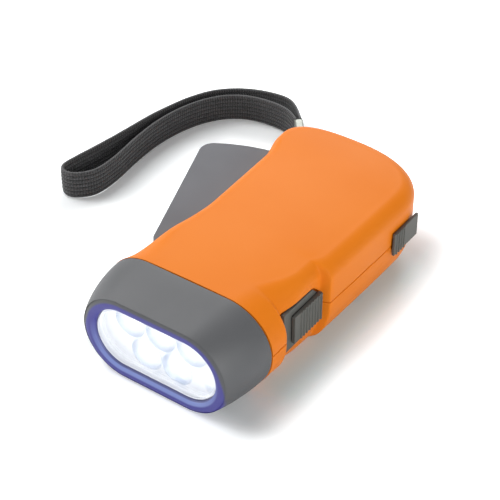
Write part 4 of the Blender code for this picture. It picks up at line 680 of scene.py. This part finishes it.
def hollow(form, place, spare):
    """How far the thumb hollow is cut in, 0 to 1; spare widens it for the wall behind it."""
    rise = ease((place - form.hollow + spare) / form.hollow_front)
    return rise * (1 - ease((place - form.hollow - form.hollow_length - spare) / form.hollow_rear))


def soft_hollow(form, place):
    """The hollow's softer reach into the top edge, 0 to 1."""
    rise = ease((place - form.hollow + form.hollow_reach) / (2 * form.hollow_reach))
    return rise * (1 - ease((place - form.hollow - form.hollow_length) / form.hollow_reach))


def stations(form):
    """Places round the plan outline, from the head's right round to its left."""
    start, end = form.hollow, form.hollow + form.hollow_length
    runs = [
        (SEAM, start, 10), (start, start + form.hollow_front, 10), (start + form.hollow_front, end, 14),
        (end, end + form.hollow_rear, 10), (end + form.hollow_rear, TAIL - form.right_tail, 22),
    ]
    places = [("right", place) for run in runs for place in spread(*run)]
    places += [("right tail", turn) for turn in spread(0, pi / 2, 36)]
    places += [("left tail", turn) for turn in spread(pi / 2, pi, 28)]
    places += [("left", place) for place in spread(TAIL - form.left_tail, SEAM, 56)]
    return places + [("left", SEAM)]


def outline_point(form, place, inset):
    side, value = place
    if side in ("right", "left"):
        edge = right_edge(form, value) - inset if side == "right" else inset - left_edge(form, value)
        return Vector((edge, max(value, SEAM + inset)))
    if side == "right tail":
        start, wide, power = TAIL - form.right_tail, HALF_WIDTH, 2.2
    else:
        start = TAIL - form.left_tail
        wide, power = left_edge(form, start), 2.5
    across = abs(cos(value)) ** (2 / power) * (wide - inset)
    back = abs(sin(value)) ** (2 / power) * (TAIL - start - inset)
    return Vector((across if cos(value) > 0 else -across, start + back))


def column(form, place, upper, wall):
    """The points up (or down) the housing at one station, from the parting seam to the flat."""
    outer = outline_point(form, place, 0)
    outer.y = max(outer.y, SEAM + wall)
    edge = outline_point(form, place, wall)
    middle = min(outer.y, TAIL - form.right_tail)
    spine = Vector(((right_edge(form, middle) - left_edge(form, middle)) / 2, middle))
    head = 1 - ease((outer.y - SEAM) / form.head_blend)
    pull = 0
    if place[0] == "right":
        edge.x -= form.hollow_depth * hollow(form, place[1], wall)
        pull = form.hollow_pull * soft_hollow(form, place[1])
    inward = (spine - edge).normalized()
    soft = form.seam_edge if wall == 0 else 0
    if upper:
        start = PARTING + PARTING_GAP / 2
        shelf = TOP - mix(form.crown, form.head_crown, head)
        foot = max(shelf - mix(form.top_drop, TOP - PARTING, head), start + 2 * form.seam_edge)
        end = shelf - wall
        width = mix(form.top_width, form.head_radius, head) + pull
    else:
        start = PARTING - PARTING_GAP / 2
        foot = start - 2 * form.seam_edge
        end = wall
        width = mix(form.underside, form.head_radius, head)
    side = 1 if upper else -1
    points = []
    for turn in (0, pi / 6, pi / 3, pi / 2):
        inset, rise = soft * (1 - sin(turn)), form.seam_edge * (1 - cos(turn))
        points.append(Vector((*(edge + inward * inset), start + side * rise)))
    flat = outer + (spine - outer).normalized() * width
    for step in range(23):
        turn = pi / 2 * step / 22
        spot = edge.lerp(flat, 1 - cos(turn))
        points.append(Vector((*spot, mix(foot, end, sin(turn)))))
    if upper:
        for step in range(1, 11):
            share = 0.9 * step / 10
            spot = flat.lerp(spine, share)
            points.append(Vector((*spot, mix(end, TOP - wall, 1 - (1 - share / 0.9) ** 2))))
    return points


def skin(form, upper, wall):
    """The rings of one half of the housing, a wall inside the outer face."""
    columns = [column(form, place, upper, wall) for place in stations(form)]
    return [
        [Vector((points[level].x, FRONT + points[level].y, points[level].z)) for points in columns]
        for level in range(len(columns[0]))
    ]


def stadium(place, half_width, low, middle, high, radius, steps=20):
    """A section across the head: flat top and bottom with quarter-round sides."""
    points = []
    for side, level, falling in ((1, high, False), (-1, high, True), (-1, low, False), (1, low, True)):
        ticks = list(range(steps + 1))
        for tick in (ticks[:0:-1] if falling else ticks):
            turn = pi / 2 * tick / steps
            x = side * (half_width - radius * (1 - cos(turn)))
            points.append(Vector((x, FRONT + place, middle + (level - middle) * sin(turn))))
    return points


def lens_ring(head, place, grow=0):
    """The lens's outline at a depth, grown outward."""
    half, wide, centre = head.lens_half_height + grow, head.lens_half_width + grow, head.lens_height
    return stadium(place, wide, centre - half, centre, centre + half, half)


def cup_places(head):
    """Three cups in the upper row and two below, nested between them."""
    rise = head.cup_pitch * sqrt(3) / 4
    cups = [(head.cup_pitch * step, head.lens_height + rise) for step in (-1, 0, 1)]
    return cups + [(head.cup_pitch * step / 2, head.lens_height - rise) for step in (-1, 1)]


# The strap's route on its edge, as (x, distance from the front rim), near layer first
STRAP_ROUTE = [
    (-0.0412, 0.1226), (-0.0490, 0.1230), (-0.0558, 0.1215), (-0.0612, 0.1182),
    (-0.0653, 0.1132), (-0.0682, 0.1070), (-0.0702, 0.0992), (-0.0710, 0.0904),
    (-0.0705, 0.0800), (-0.0693, 0.0690), (-0.0697, 0.0605), (-0.0727, 0.0558),
    (-0.0765, 0.0541), (-0.0796, 0.0562), (-0.0792, 0.0622), (-0.0779, 0.0700),
    (-0.0768, 0.0777), (-0.0758, 0.0860), (-0.0748, 0.0944), (-0.0732, 0.1022),
    (-0.0711, 0.1096), (-0.0678, 0.1166), (-0.0634, 0.1216), (-0.0580, 0.1252),
    (-0.0520, 0.1274), (-0.0452, 0.1282), (-0.0402, 0.1262),
]
STRAP_BOTTOM = 0.0003
WEAVE_STEP = 0.0009
FERRULE_CENTRE = Vector((-0.0318, FRONT + 0.1165))
FERRULE_HEADING = radians(129)
FERRULE_LENGTH = 0.0080
TAIL_POST = Vector((-0.0130 - 0.0005, FRONT + 0.0920))
LOOP_HEIGHT = 0.0095
LOCK_HEIGHT = 0.0160


def even_route(points, step):
    """Evenly spaced points on a smooth curve through the given ones."""
    fine = []
    for index in range(len(points) - 1):
        before = points[max(index - 1, 0)]
        start, end = points[index], points[index + 1]
        after = points[min(index + 2, len(points) - 1)]
        for tick in range(16):
            t = tick / 16
            linear = (end - before) * t
            square = (before * 2 - start * 5 + end * 4 - after) * t ** 2
            cube = (start * 3 - before - end * 3 + after) * t ** 3
            fine.append(start + (linear + square + cube) / 2)
    fine.append(points[-1])
    total = sum((b - a).length for a, b in zip(fine, fine[1:]))
    count = max(int(total / step), 2)
    spaced, walked = [fine[0]], 0
    for a, b in zip(fine, fine[1:]):
        piece = (b - a).length
        while walked + piece >= total / count * len(spaced) and len(spaced) < count:
            spaced.append(a.lerp(b, (total / count * len(spaced) - walked) / piece))
        walked += piece
    return spaced + [fine[-1]]


# Operators


class TORCH_OT_stage(bpy.types.Operator):
    """Set the pale floor, the soft light and the camera"""

    bl_idname = "torch.stage"
    bl_label = "Stage"

    def execute(self, context):
        stage = context.scene.torch_stage
        self.lay_floor(stage)
        self.light(context.scene, stage)
        self.aim_camera(context.scene, stage)
        context.scene.view_settings.view_transform = "Standard"
        return {"FINISHED"}

    def lay_floor(self, stage):
        builder = bmesh.new()
        bmesh.ops.create_circle(builder, cap_ends=True, segments=96, radius=6)
        finish = Finish("floor_paper")
        paper = finish.noise(300, 2)
        x, y, z = finish.place()
        across = (x.absolute() - (HALF_WIDTH - stage.pool_inset)).most(0)
        start, end = FRONT + stage.pool_front, FRONT + TAIL - stage.pool_inset
        along = ((y - (start + end) / 2).absolute() - (end - start) / 2).most(0)
        away = (across * across + along * along).root()
        # Painted colour: a cool tint beside the shell that takes out the orange light the shell reflects on the floor.
        beside = (x - HALF_WIDTH).step(-0.012, -0.004) * (1 - (x - HALF_WIDTH).step(0.000, 0.013))
        behind_cap = (y - FRONT - SEAM).step(-0.004, 0.006) * (1 - (y - FRONT - TAIL).step(-0.022, 0.000))
        shade = finish.blend(beside * behind_cap, stage.floor, stage.floor_cool)
        finish.set(colour=shade, roughness=0.9, specular=0.1, normal=finish.bump(paper, 0.00001, 0.1))
        path = [finish.node("ShaderNodeLightPath", {}, out=way) for way in (0, 3, 6)]
        seen = path[0].most(path[1]).most(path[2])
        # Painted light on the floor: little near the torch and the strap, full farther out, so that their shadows fade
        # to white a short way off.
        painted_floor_light = away.step(0, stage.pool_reach) * stage.floor_light_far + stage.floor_light
        run = [Vector((x, FRONT + y)) for x, y in STRAP_ROUTE[:13:3]]
        beyond = distance_from(*finish.place()[:2], run).step(0.004, 0.022)
        painted_floor_light = painted_floor_light.least(beyond * stage.floor_light_far + stage.floor_light_strap)
        bright = finish.node("ShaderNodeEmission", {}, (1, 1, 1), seen * painted_floor_light)
        both = finish.node("ShaderNodeAddShader", {}, Wire(finish, finish.shader.outputs[0]), bright)
        finish.put(finish.output.inputs["Surface"], both)
        floor = new_piece("floor", builder, finish.material)

    def light(self, scene, stage):
        world = bpy.data.worlds.new("soft_surroundings")
        scene.world = world
        world.use_nodes = True
        tree = world.node_tree
        background = tree.nodes["Background"]
        path = tree.nodes.new("ShaderNodeLightPath")
        sight = path.outputs["Is Camera Ray"]
        for ray in ("Is Glossy Ray", "Is Transmission Ray"):
            either = tree.nodes.new("ShaderNodeMath")
            either.operation = "MAXIMUM"
            tree.links.new(sight, either.inputs[0])
            tree.links.new(path.outputs[ray], either.inputs[1])
            sight = either.outputs[0]
        strength = tree.nodes.new("ShaderNodeMix")
        strength.inputs[2].default_value = stage.fill
        strength.inputs[3].default_value = 1.0
        tree.links.new(sight, strength.inputs[0])
        tree.links.new(strength.outputs[0], background.inputs["Strength"])
        background.inputs["Color"].default_value = (1, 1, 1, 1)
        self.softbox("key", (-0.62, -0.02, 1.03), 0.65, stage.key)
        self.softbox("rear", (-0.45, 0.80, 0.60), 0.60, stage.key * 0.56)
        self.softbox("side", (0.95, -0.45, 0.34), 0.60, stage.key * 1.0)
        self.softbox("left", (-0.95, -0.35, 0.42), 0.45, stage.key * 0.62)

    def softbox(self, name, place, size, power):
        lamp = bpy.data.lights.new(name, "AREA")
        lamp.size = size
        lamp.energy = power
        box = bpy.data.objects.new(name, lamp)
        box.location = place
        box.rotation_euler = (-Vector(place)).to_track_quat("-Z", "Y").to_euler()
        bpy.context.scene.collection.objects.link(box)

    def aim_camera(self, scene, stage):
        turn, rise = stage.camera_turn, stage.camera_rise
        back = Vector((sin(turn) * cos(rise), -cos(turn) * cos(rise), sin(rise)))
        right = Vector((cos(turn), sin(turn), 0))
        target = Vector((-0.00545, 0.0007, 0.013)) + right * 0.00058 + back.cross(right) * 0.00036
        camera = bpy.data.cameras.new("camera")
        camera.lens = stage.lens
        camera.sensor_width = 36
        camera.clip_start = 0.01
        eye = bpy.data.objects.new("camera", camera)
        eye.location = target + back * stage.camera_distance
        eye.rotation_euler = back.to_track_quat("Z", "Y").to_euler()
        scene.collection.objects.link(eye)
        scene.camera = eye


class TORCH_OT_strap(bpy.types.Operator):
    """Weave the wrist strap and lay its cord and ferrule"""

    bl_idname = "torch.strap"
    bl_label = "Wrist strap"

    def execute(self, context):
        strap = context.scene.torch_strap
        way = Vector((cos(FERRULE_HEADING), sin(FERRULE_HEADING)))
        self.webbing(strap, way)
        self.cord(strap, way)
        dress("strap_ferrule", plain_metal("bright_ferrule", (0.30, 0.31, 0.28), 0.42))
        soften("strap_ferrule", 0.0003)
        return {"FINISHED"}

    def webbing(self, strap, way):
        aside = Vector((-way.y, way.x)) * (strap.thickness / 2 + 0.00015)
        face = FERRULE_CENTRE + way * (FERRULE_LENGTH / 2 + 0.0003)
        route = [Vector((x, FRONT + y)) for x, y in STRAP_ROUTE]
        points = even_route([face + aside] + route + [face - aside], WEAVE_STEP)
        half, thick = strap.width / 2, strap.thickness / 2
        middle = STRAP_BOTTOM + half
        outline = []
        rows = strap.ribs * 6
        for side in (1, -1):
            for step in range(rows + 1):
                share = side * (1 - 2 * (step + 0.5) / (rows + 1))
                rib = abs(sin(pi * strap.ribs * (share + 1) / 2))
                swell = sqrt(1 - abs(share) ** 6)
                outline.append((side * swell * (thick - strap.groove * (1 - rib)), share * half))
        rings = []
        for index, point in enumerate(points):
            ahead = points[min(index + 1, len(points) - 1)] - points[max(index - 1, 0)]
            side = Vector((-ahead.y, ahead.x)).normalized()
            rings.append([(*(point + side * out), middle + up) for out, up in outline])
        builder, loops = extrude_rings(rings)
        weave = builder.loops.layers.uv.new("weave")
        for number, ring in enumerate(loops):
            for corner, (out, up) in zip(ring, outline):
                for loop in corner.link_loops:
                    loop[weave].uv = (number * WEAVE_STEP, 0.5 + up / strap.width)
        piece = new_piece("wrist_webbing", builder, woven_yarn(strap), 60)
        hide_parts("wrist_strap")
        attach(piece, HOUSING)

    def cord(self, strap, way):
        middle = STRAP_BOTTOM + strap.width / 2
        end = FERRULE_CENTRE - way * (FERRULE_LENGTH / 2 + 0.0003)
        side_way = Vector((-way.y, way.x))
        heading = atan2(end.y - TAIL_POST.y, end.x - TAIL_POST.x)
        strands = []
        for side in (-1, 1):
            turn = heading + side * pi / 2
            start = TAIL_POST + Vector((cos(turn), sin(turn))) * 0.0023
            target = end + side_way * side * 0.0009
            strand = []
            for step in range(1, 25):
                share = step / 24
                fall = share * share * (3 - 2 * share)
                strand.append((*start.lerp(target, share), LOOP_HEIGHT + (middle - LOOP_HEIGHT) * fall))
            strands.append(strand)
        wrap = []
        for step in range(17):
            turn = heading - pi / 2 - pi * step / 16
            wrap.append((*(TAIL_POST + Vector((cos(turn), sin(turn))) * 0.0023), LOOP_HEIGHT))
        points = strands[0][::-1] + wrap + strands[1]
        curve = bpy.data.curves.new("tail_cord", "CURVE")
        curve.dimensions = "3D"
        curve.bevel_depth = strap.cord / 2
        curve.bevel_resolution = 4
        curve.use_fill_caps = True
        spline = curve.splines.new("POLY")
        spline.points.add(len(points) - 1)
        for knot, spot in zip(spline.points, points):
            knot.co = (*spot, 1)
        curve.materials.append(braided_cord(strap))
        piece = bpy.data.objects.new("tail_cord", curve)
        bpy.context.scene.collection.objects.link(piece)
        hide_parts("strap_loop")
        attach(piece, HOUSING)


SCREWS = ["shell_screw_head", "shell_screw_side", "shell_screw_tail"]
AXLES = ["idler_axle", "clutch_axle", "flywheel_axle", "lever_pivot_pin"]
FIT = 0.0004
LEVER_HUB = 0.0142
LEVER_END = 0.0472
LEVER_SWING = 0.0400
PLATE_CORNER = 0.0032
SCREW_BOSS_RADIUS = 0.0032
SCREW_SEAT = 0.0060
STRAP_WINDOW = 0.0076
SWITCH_STEM = (0.0050, 0.0030, 0.0028, 0.0)
LOCK_STEM = (0.0045, 0.0044, 0.0030, 0.0)


def slider_slot(node, joint, stem):
    """The slot in the wall for a slider's stem, long enough for its travel."""
    start, long, high, rise = stem
    low, top = [Vector(corner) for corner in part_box(node)]
    centre = PARTING if node == "switch_slider" else LOCK_HEIGHT
    front = low.y + start - joint["range_m"][1] - FIT
    return block(
        (HALF_WIDTH - 0.0066, front, centre - high / 2 - FIT + rise),
        (HALF_WIDTH + 0.0010, low.y + start + long + FIT, centre + high / 2 + FIT + rise),
    )


def lens_slot(head, form):
    """The hole in the housing's front wall for the cap's spigot."""
    return loft([lens_ring(head, place, 0.0014) for place in (SEAM - 0.001, SEAM + form.wall + 0.001)])


class TORCH_OT_housing(bpy.types.Operator):
    """Finish the two housing halves and their screws"""

    bl_idname = "torch.housing"
    bl_label = "Housing"

    def execute(self, context):
        form = context.scene.torch_housing
        head = context.scene.torch_head
        shell = moulded_plastic("orange_satin", form.shell, form.shade).material
        for upper, node, name in ((True, "upper_shell", "housing_top"), (False, "lower_shell", "housing_base")):
            piece = new_piece(name, loft(skin(form, upper, 0)[::-1] + skin(form, upper, form.wall)), shell)
            self.add_bosses(piece, form, upper)
            self.cut_openings(piece, form, head, upper)
            clean(piece)
            smooth_shade(piece, 38)
            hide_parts(node)
            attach(piece, HOUSING)
        screw = plain_metal("screw_steel", (0.55, 0.55, 0.56), 0.34)
        for node in SCREWS:
            dress(node, screw)
        return {"FINISHED"}

    def add_bosses(self, piece, form, upper):
        """Posts inside that hold the axles, the pivot pin and the screws."""
        core = new_piece("core", loft(skin(form, upper, form.wall / 2)), None)
        posts = []
        for node in AXLES + SCREWS:
            low, high = [Vector(corner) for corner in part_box(node)]
            centre = (low + high) / 2
            radius = (high.x - low.x) / 2 + form.wall * 0.7
            if upper:
                posts.append(post(centre, radius, high.z - form.wall, TOP))
            elif node in SCREWS:
                posts.append(post(centre, SCREW_BOSS_RADIUS, 0, LOWER[1].z))
            else:
                posts.append(post(centre, radius, 0, low.z + form.wall))
        shape(piece, "UNION", together(posts), within=core)
        bpy.data.objects.remove(core)

    def cut_openings(self, piece, form, head, upper):
        """The lever's window, the sliders' slots, the cap's hole and the holes underneath."""
        lever = [Vector(corner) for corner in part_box("squeeze_lever")]
        window = arc(PIVOT, LEVER_HUB, -pi / 6, -pi, 40)
        window.append(PIVOT.xy - Vector((LEVER_SWING, 0)))
        window += arc(PIVOT, LEVER_END, pi * 0.72, radians(74), 40)
        shape(piece, "DIFFERENCE", upright(window, lever[0].z - FIT, lever[1].z + FIT))
        low, high = [Vector(corner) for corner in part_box("switch_plate")]
        spare = Vector((0, FIT, FIT))
        low, high = low - spare, high + spare
        corner = PLATE_CORNER
        outline = [
            (low.y, low.z), (high.y, low.z), (high.y, high.z - corner), (high.y - corner, high.z),
            (low.y, high.z),
        ]
        shape(piece, "DIFFERENCE", sideways(outline, low.x - FIT, HALF_WIDTH + FIT))
        slots = [lens_slot(head, form), slider_slot("switch_slider", JOINTS["switch_slide"], SWITCH_STEM)]
        slots.append(slider_slot("lock_slider", JOINTS["lock_slide"], LOCK_STEM))
        shape(piece, "DIFFERENCE", together(slots))
        if not upper:
            holes = []
            for node in SCREWS:
                low, high = [Vector(corner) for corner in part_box(node)]
                centre = (low + high) / 2
                holes.append(post(centre, (high.x - low.x) / 2 + FIT, low.z - TOP, SCREW_SEAT))
            way = (FERRULE_CENTRE - TAIL_POST).normalized()
            side = Vector((-way.y, way.x)) * STRAP_WINDOW / 2
            near, far = TAIL_POST + way * 0.0017, TAIL_POST + way * 0.014
            outline = [near - side, far - side, far + side, near + side]
            holes.append(upright(outline, LOOP_HEIGHT - 0.0030, LOOP_HEIGHT + 0.0030))
            shape(piece, "DIFFERENCE", together(holes))


class TORCH_OT_head(bpy.types.Operator):
    """Finish the head cap, the lens and the lit lamps behind it"""

    bl_idname = "torch.head"
    bl_label = "Head"

    def execute(self, context):
        head = context.scene.torch_head
        form = context.scene.torch_housing
        self.cap(head, form)
        self.window(head)
        self.cups(head)
        resin = lamp_resin(head)
        for number in range(1, 6):
            dress("led_" + str(number), resin)
        dress("led_board", circuit_board())
        return {"FINISHED"}

    def section(self, head, form, place, inset=0):
        """The outside of the cap, bulging from the rim back to the seam."""
        share = place / SEAM
        bulge = sin(share * pi / 2) ** 0.75
        low = mix(head.lens_height - head.rim_half_height, 0, share) + inset
        high = mix(head.lens_height + head.rim_half_height, TOP, bulge) - inset
        middle = mix(head.lens_height, PARTING, bulge)
        half_width = mix(head.rim_half_width, form.seam_half_width, bulge) - inset
        return stadium(place, half_width, low, middle, high, mix(head.rim_half_height, form.head_radius, bulge) - inset)

    def place_piece(self, piece, node):
        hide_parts(node)
        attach(piece, HOUSING)

    def cap(self, head, form):
        rear = SEAM - PARTING_GAP
        lens = [Vector(corner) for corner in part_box("lens")]
        ledge = lens[1].y - FRONT - 0.001
        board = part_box("led_board")[1][1] - FRONT + PARTING_GAP
        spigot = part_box("head_cap")[1][1] - FRONT
        gap = PARTING_GAP
        rings = [self.section(head, form, rear - 0.0003 * (1 - cos(turn)), 0.0003 * (1 - sin(turn))) for turn in (0, pi / 6, pi / 3, pi / 2)]
        rings += [self.section(head, form, (rear - 0.0003) * (1 - step / 40) ** 1.6) for step in range(1, 37)]
        for step in range(0, 9):
            turn = pi / 2 * step / 8
            rings.append(self.section(head, form, head.rim_rounding * (1 - sin(turn)), head.rim_rounding * (1 - cos(turn))))
        rings.append(lens_ring(head, 0, gap + head.lip_width))
        for step in range(1, 9):
            turn = pi / 2 * step / 8
            rings.append(lens_ring(head, head.lip_depth * (1 - cos(turn)), gap + head.lip_width * (1 - sin(turn))))
        rings.append(lens_ring(head, ledge, gap))
        rings.append(lens_ring(head, ledge, 0.0019))
        rings.append(lens_ring(head, board, 0.0019))
        rings.append(lens_ring(head, board, -0.0002))
        rings.append(lens_ring(head, spigot, -0.0002))
        rings.append(lens_ring(head, spigot, 0.0011))
        rings.append(lens_ring(head, rear, 0.0011))
        self.place_piece(new_piece("cap_shell", loft(rings, closed=True), cap_plastic(head)), "head_cap")

    def window(self, head):
        front, back = [corner[1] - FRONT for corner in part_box("lens")]
        rings = [lens_ring(head, front, -0.0003), lens_ring(head, front + 0.0003)]
        rings += [lens_ring(head, back - 0.0007), lens_ring(head, back - 0.0007, 0.0016), lens_ring(head, back, 0.0016)]
        self.place_piece(new_piece("lamp_window", loft(rings), clear_lens()), "lens")

    def cups(self, head):
        front, back = [corner[1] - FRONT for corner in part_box("reflector")]
        plate = new_piece("lamp_cups", loft([lens_ring(head, front, 0.0016), lens_ring(head, back, 0.0016)]), lit_reflector(head))
        tools = []
        for x, z in cup_places(head):
            profile = [(head.lamp_hole, back + 0.001), (head.lamp_hole, back - 0.001)]
            for step in range(1, 17):
                profile.append((mix(head.lamp_hole, head.cup_radius, sqrt(step / 16)), mix(back - 0.001, front, step / 16)))
            profile.append((head.cup_radius, front - 0.001))
            rings = [[(x + radius * cos(2 * pi * tick / 48), FRONT + depth, z + radius * sin(2 * pi * tick / 48)) for tick in range(48)] for radius, depth in profile]
            tools.append(loft(rings))
        shape(plate, "DIFFERENCE", together(tools))
        clean(plate)
        smooth_shade(plate, 40)
        self.place_piece(plate, "reflector")


class TORCH_OT_lever(bpy.types.Operator):
    """Finish the squeeze lever"""

    bl_idname = "torch.lever"
    bl_label = "Lever"

    def execute(self, context):
        lever = context.scene.torch_lever
        deep = tuple(channel * 0.9 for channel in lever.body)
        dress("squeeze_lever", moulded_plastic("lever_grey", lever.body, deep, 0.5).material)
        soften("squeeze_lever", lever.edge)
        dress("lever_pivot_pin", plain_metal("pin_steel", (0.62, 0.62, 0.63), 0.25))
        return {"FINISHED"}


class TORCH_OT_sliders(bpy.types.Operator):
    """Make the lamp switch's grip and finish the lever lock"""

    bl_idname = "torch.sliders"
    bl_label = "Sliders"

    def execute(self, context):
        slider = context.scene.torch_slider
        deep = tuple(channel * 0.85 for channel in slider.body)
        grip = moulded_plastic("slider_grey", slider.body, deep, 0.5).material
        self.switch(slider, grip)
        for node in ("lock_slider", "switch_plate"):
            dress(node, grip)
            soften(node, slider.edge)
        dress("switch_contact", moulded_plastic("contact_black", (0.03, 0.03, 0.03), (0.02, 0.02, 0.02)).material)
        return {"FINISHED"}

    def switch(self, slider, grip):
        """The switch's grip: upright ribs over nearly its whole face, and its stem behind."""
        low, high = [Vector(corner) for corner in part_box("switch_slider")]
        face = high.x - slider.rib_depth
        inner = face - slider.thickness
        outline = [(inner, low.y), (face, low.y)]
        for number in range(slider.ribs):
            near = high.y - slider.rib_pitch * (slider.ribs - number - 0.4)
            far = near + slider.rib_pitch / 2
            outline += [(face, near), (high.x, near + slider.rib_depth / 2)]
            outline += [(high.x, far - slider.rib_depth / 2), (face, far)]
        outline += [(face, high.y), (inner, high.y)]
        piece = new_piece("switch_grip", upright(outline, low.z, high.z), grip)
        start, long, tall, rise = SWITCH_STEM
        stem = block(
            (low.x, low.y + start, PARTING - tall / 2), (inner + slider.thickness / 2, low.y + start + long, PARTING + tall / 2)
        )
        shape(piece, "UNION", stem)
        bevel = piece.modifiers.new("round", "BEVEL")
        bevel.width = slider.edge
        bevel.segments = 2
        bevel.angle_limit = radians(30)
        smooth_shade(piece, 50)
        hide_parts("switch_slider")
        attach(piece, JOINTS["switch_slide"]["child"])


class TORCH_OT_mechanism(bpy.types.Operator):
    """Finish the gears, the generator, the spring and the cells inside"""

    bl_idname = "torch.mechanism"
    bl_label = "Mechanism"

    def execute(self, context):
        nylon = moulded_plastic("gear_nylon", (0.78, 0.78, 0.74), (0.70, 0.70, 0.66), 0.42).material
        for node in ("idler_gear", "clutch_gear"):
            dress(node, nylon)
        steel = plain_metal("axle_steel", (0.62, 0.62, 0.63), 0.24)
        for node in ("idler_axle", "clutch_axle", "flywheel_axle"):
            dress(node, steel)
        self.spring(steel)
        dress("flywheel", plain_metal("flywheel_steel", (0.28, 0.28, 0.29), 0.38, (700, 700, 700)))
        laminate = plain_metal("core_laminate", (0.20, 0.20, 0.21), 0.42, (60, 60, 4000))
        dress("stator_core", laminate)
        dress("ring_magnet", moulded_plastic("ferrite", (0.06, 0.06, 0.065), (0.045, 0.045, 0.05), 0.6).material)
        dress("coil_bobbin", moulded_plastic("bobbin_black", (0.03, 0.03, 0.03), (0.02, 0.02, 0.02)).material)
        dress("coil", coil_wire())
        nickel = plain_metal("cell_nickel", (0.66, 0.65, 0.62), 0.24)
        for node in ("cell_1", "cell_2", "cell_3", "cell_contact_1", "cell_contact_2"):
            dress(node, nickel)
        return {"FINISHED"}

    def spring(self, steel):
        """The return spring, one fixed piece made from the CAD node's mesh; on the real torch its lower leg turns with
        the lever while its upper leg stays.
        """
        builder = bmesh.new()
        builder.from_mesh(frame["nodes"]["return_spring"].data)
        bmesh.ops.remove_doubles(builder, verts=builder.verts, dist=0.000001)
        piece = new_piece("pivot_spring", builder, steel, 60)
        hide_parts("return_spring")
        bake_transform(piece)


class TORCH_PT_panel(bpy.types.Panel):
    """The torch's pieces in the sidebar"""

    bl_label = "Squeeze torch"
    bl_idname = "TORCH_PT_panel"
    bl_space_type = "VIEW_3D"
    bl_region_type = "UI"
    bl_category = "Torch"

    def draw(self, context):
        for step in STEPS:
            self.layout.operator("torch." + step)


STEPS = ("stage", "strap", "housing", "head", "lever", "sliders", "mechanism")
SETTINGS = {
    "torch_housing": HousingSettings,
    "torch_head": HeadSettings,
    "torch_lever": LeverSettings,
    "torch_slider": SliderSettings,
    "torch_strap": StrapSettings,
    "torch_stage": StageSettings,
}
CLASSES = (
    *SETTINGS.values(), TORCH_OT_stage, TORCH_OT_strap, TORCH_OT_housing, TORCH_OT_head, TORCH_OT_lever,
    TORCH_OT_sliders, TORCH_OT_mechanism, TORCH_PT_panel,
)


def register():
    for kind in CLASSES:
        bpy.utils.register_class(kind)
    for name, kind in SETTINGS.items():
        setattr(bpy.types.Scene, name, PointerProperty(type=kind))


def unregister():
    for name in SETTINGS:
        delattr(bpy.types.Scene, name)
    for kind in reversed(CLASSES):
        bpy.utils.unregister_class(kind)


def main():
    register()
    for step in STEPS:
        getattr(bpy.ops.torch, step)()


if __name__ == "__main__":
    main()
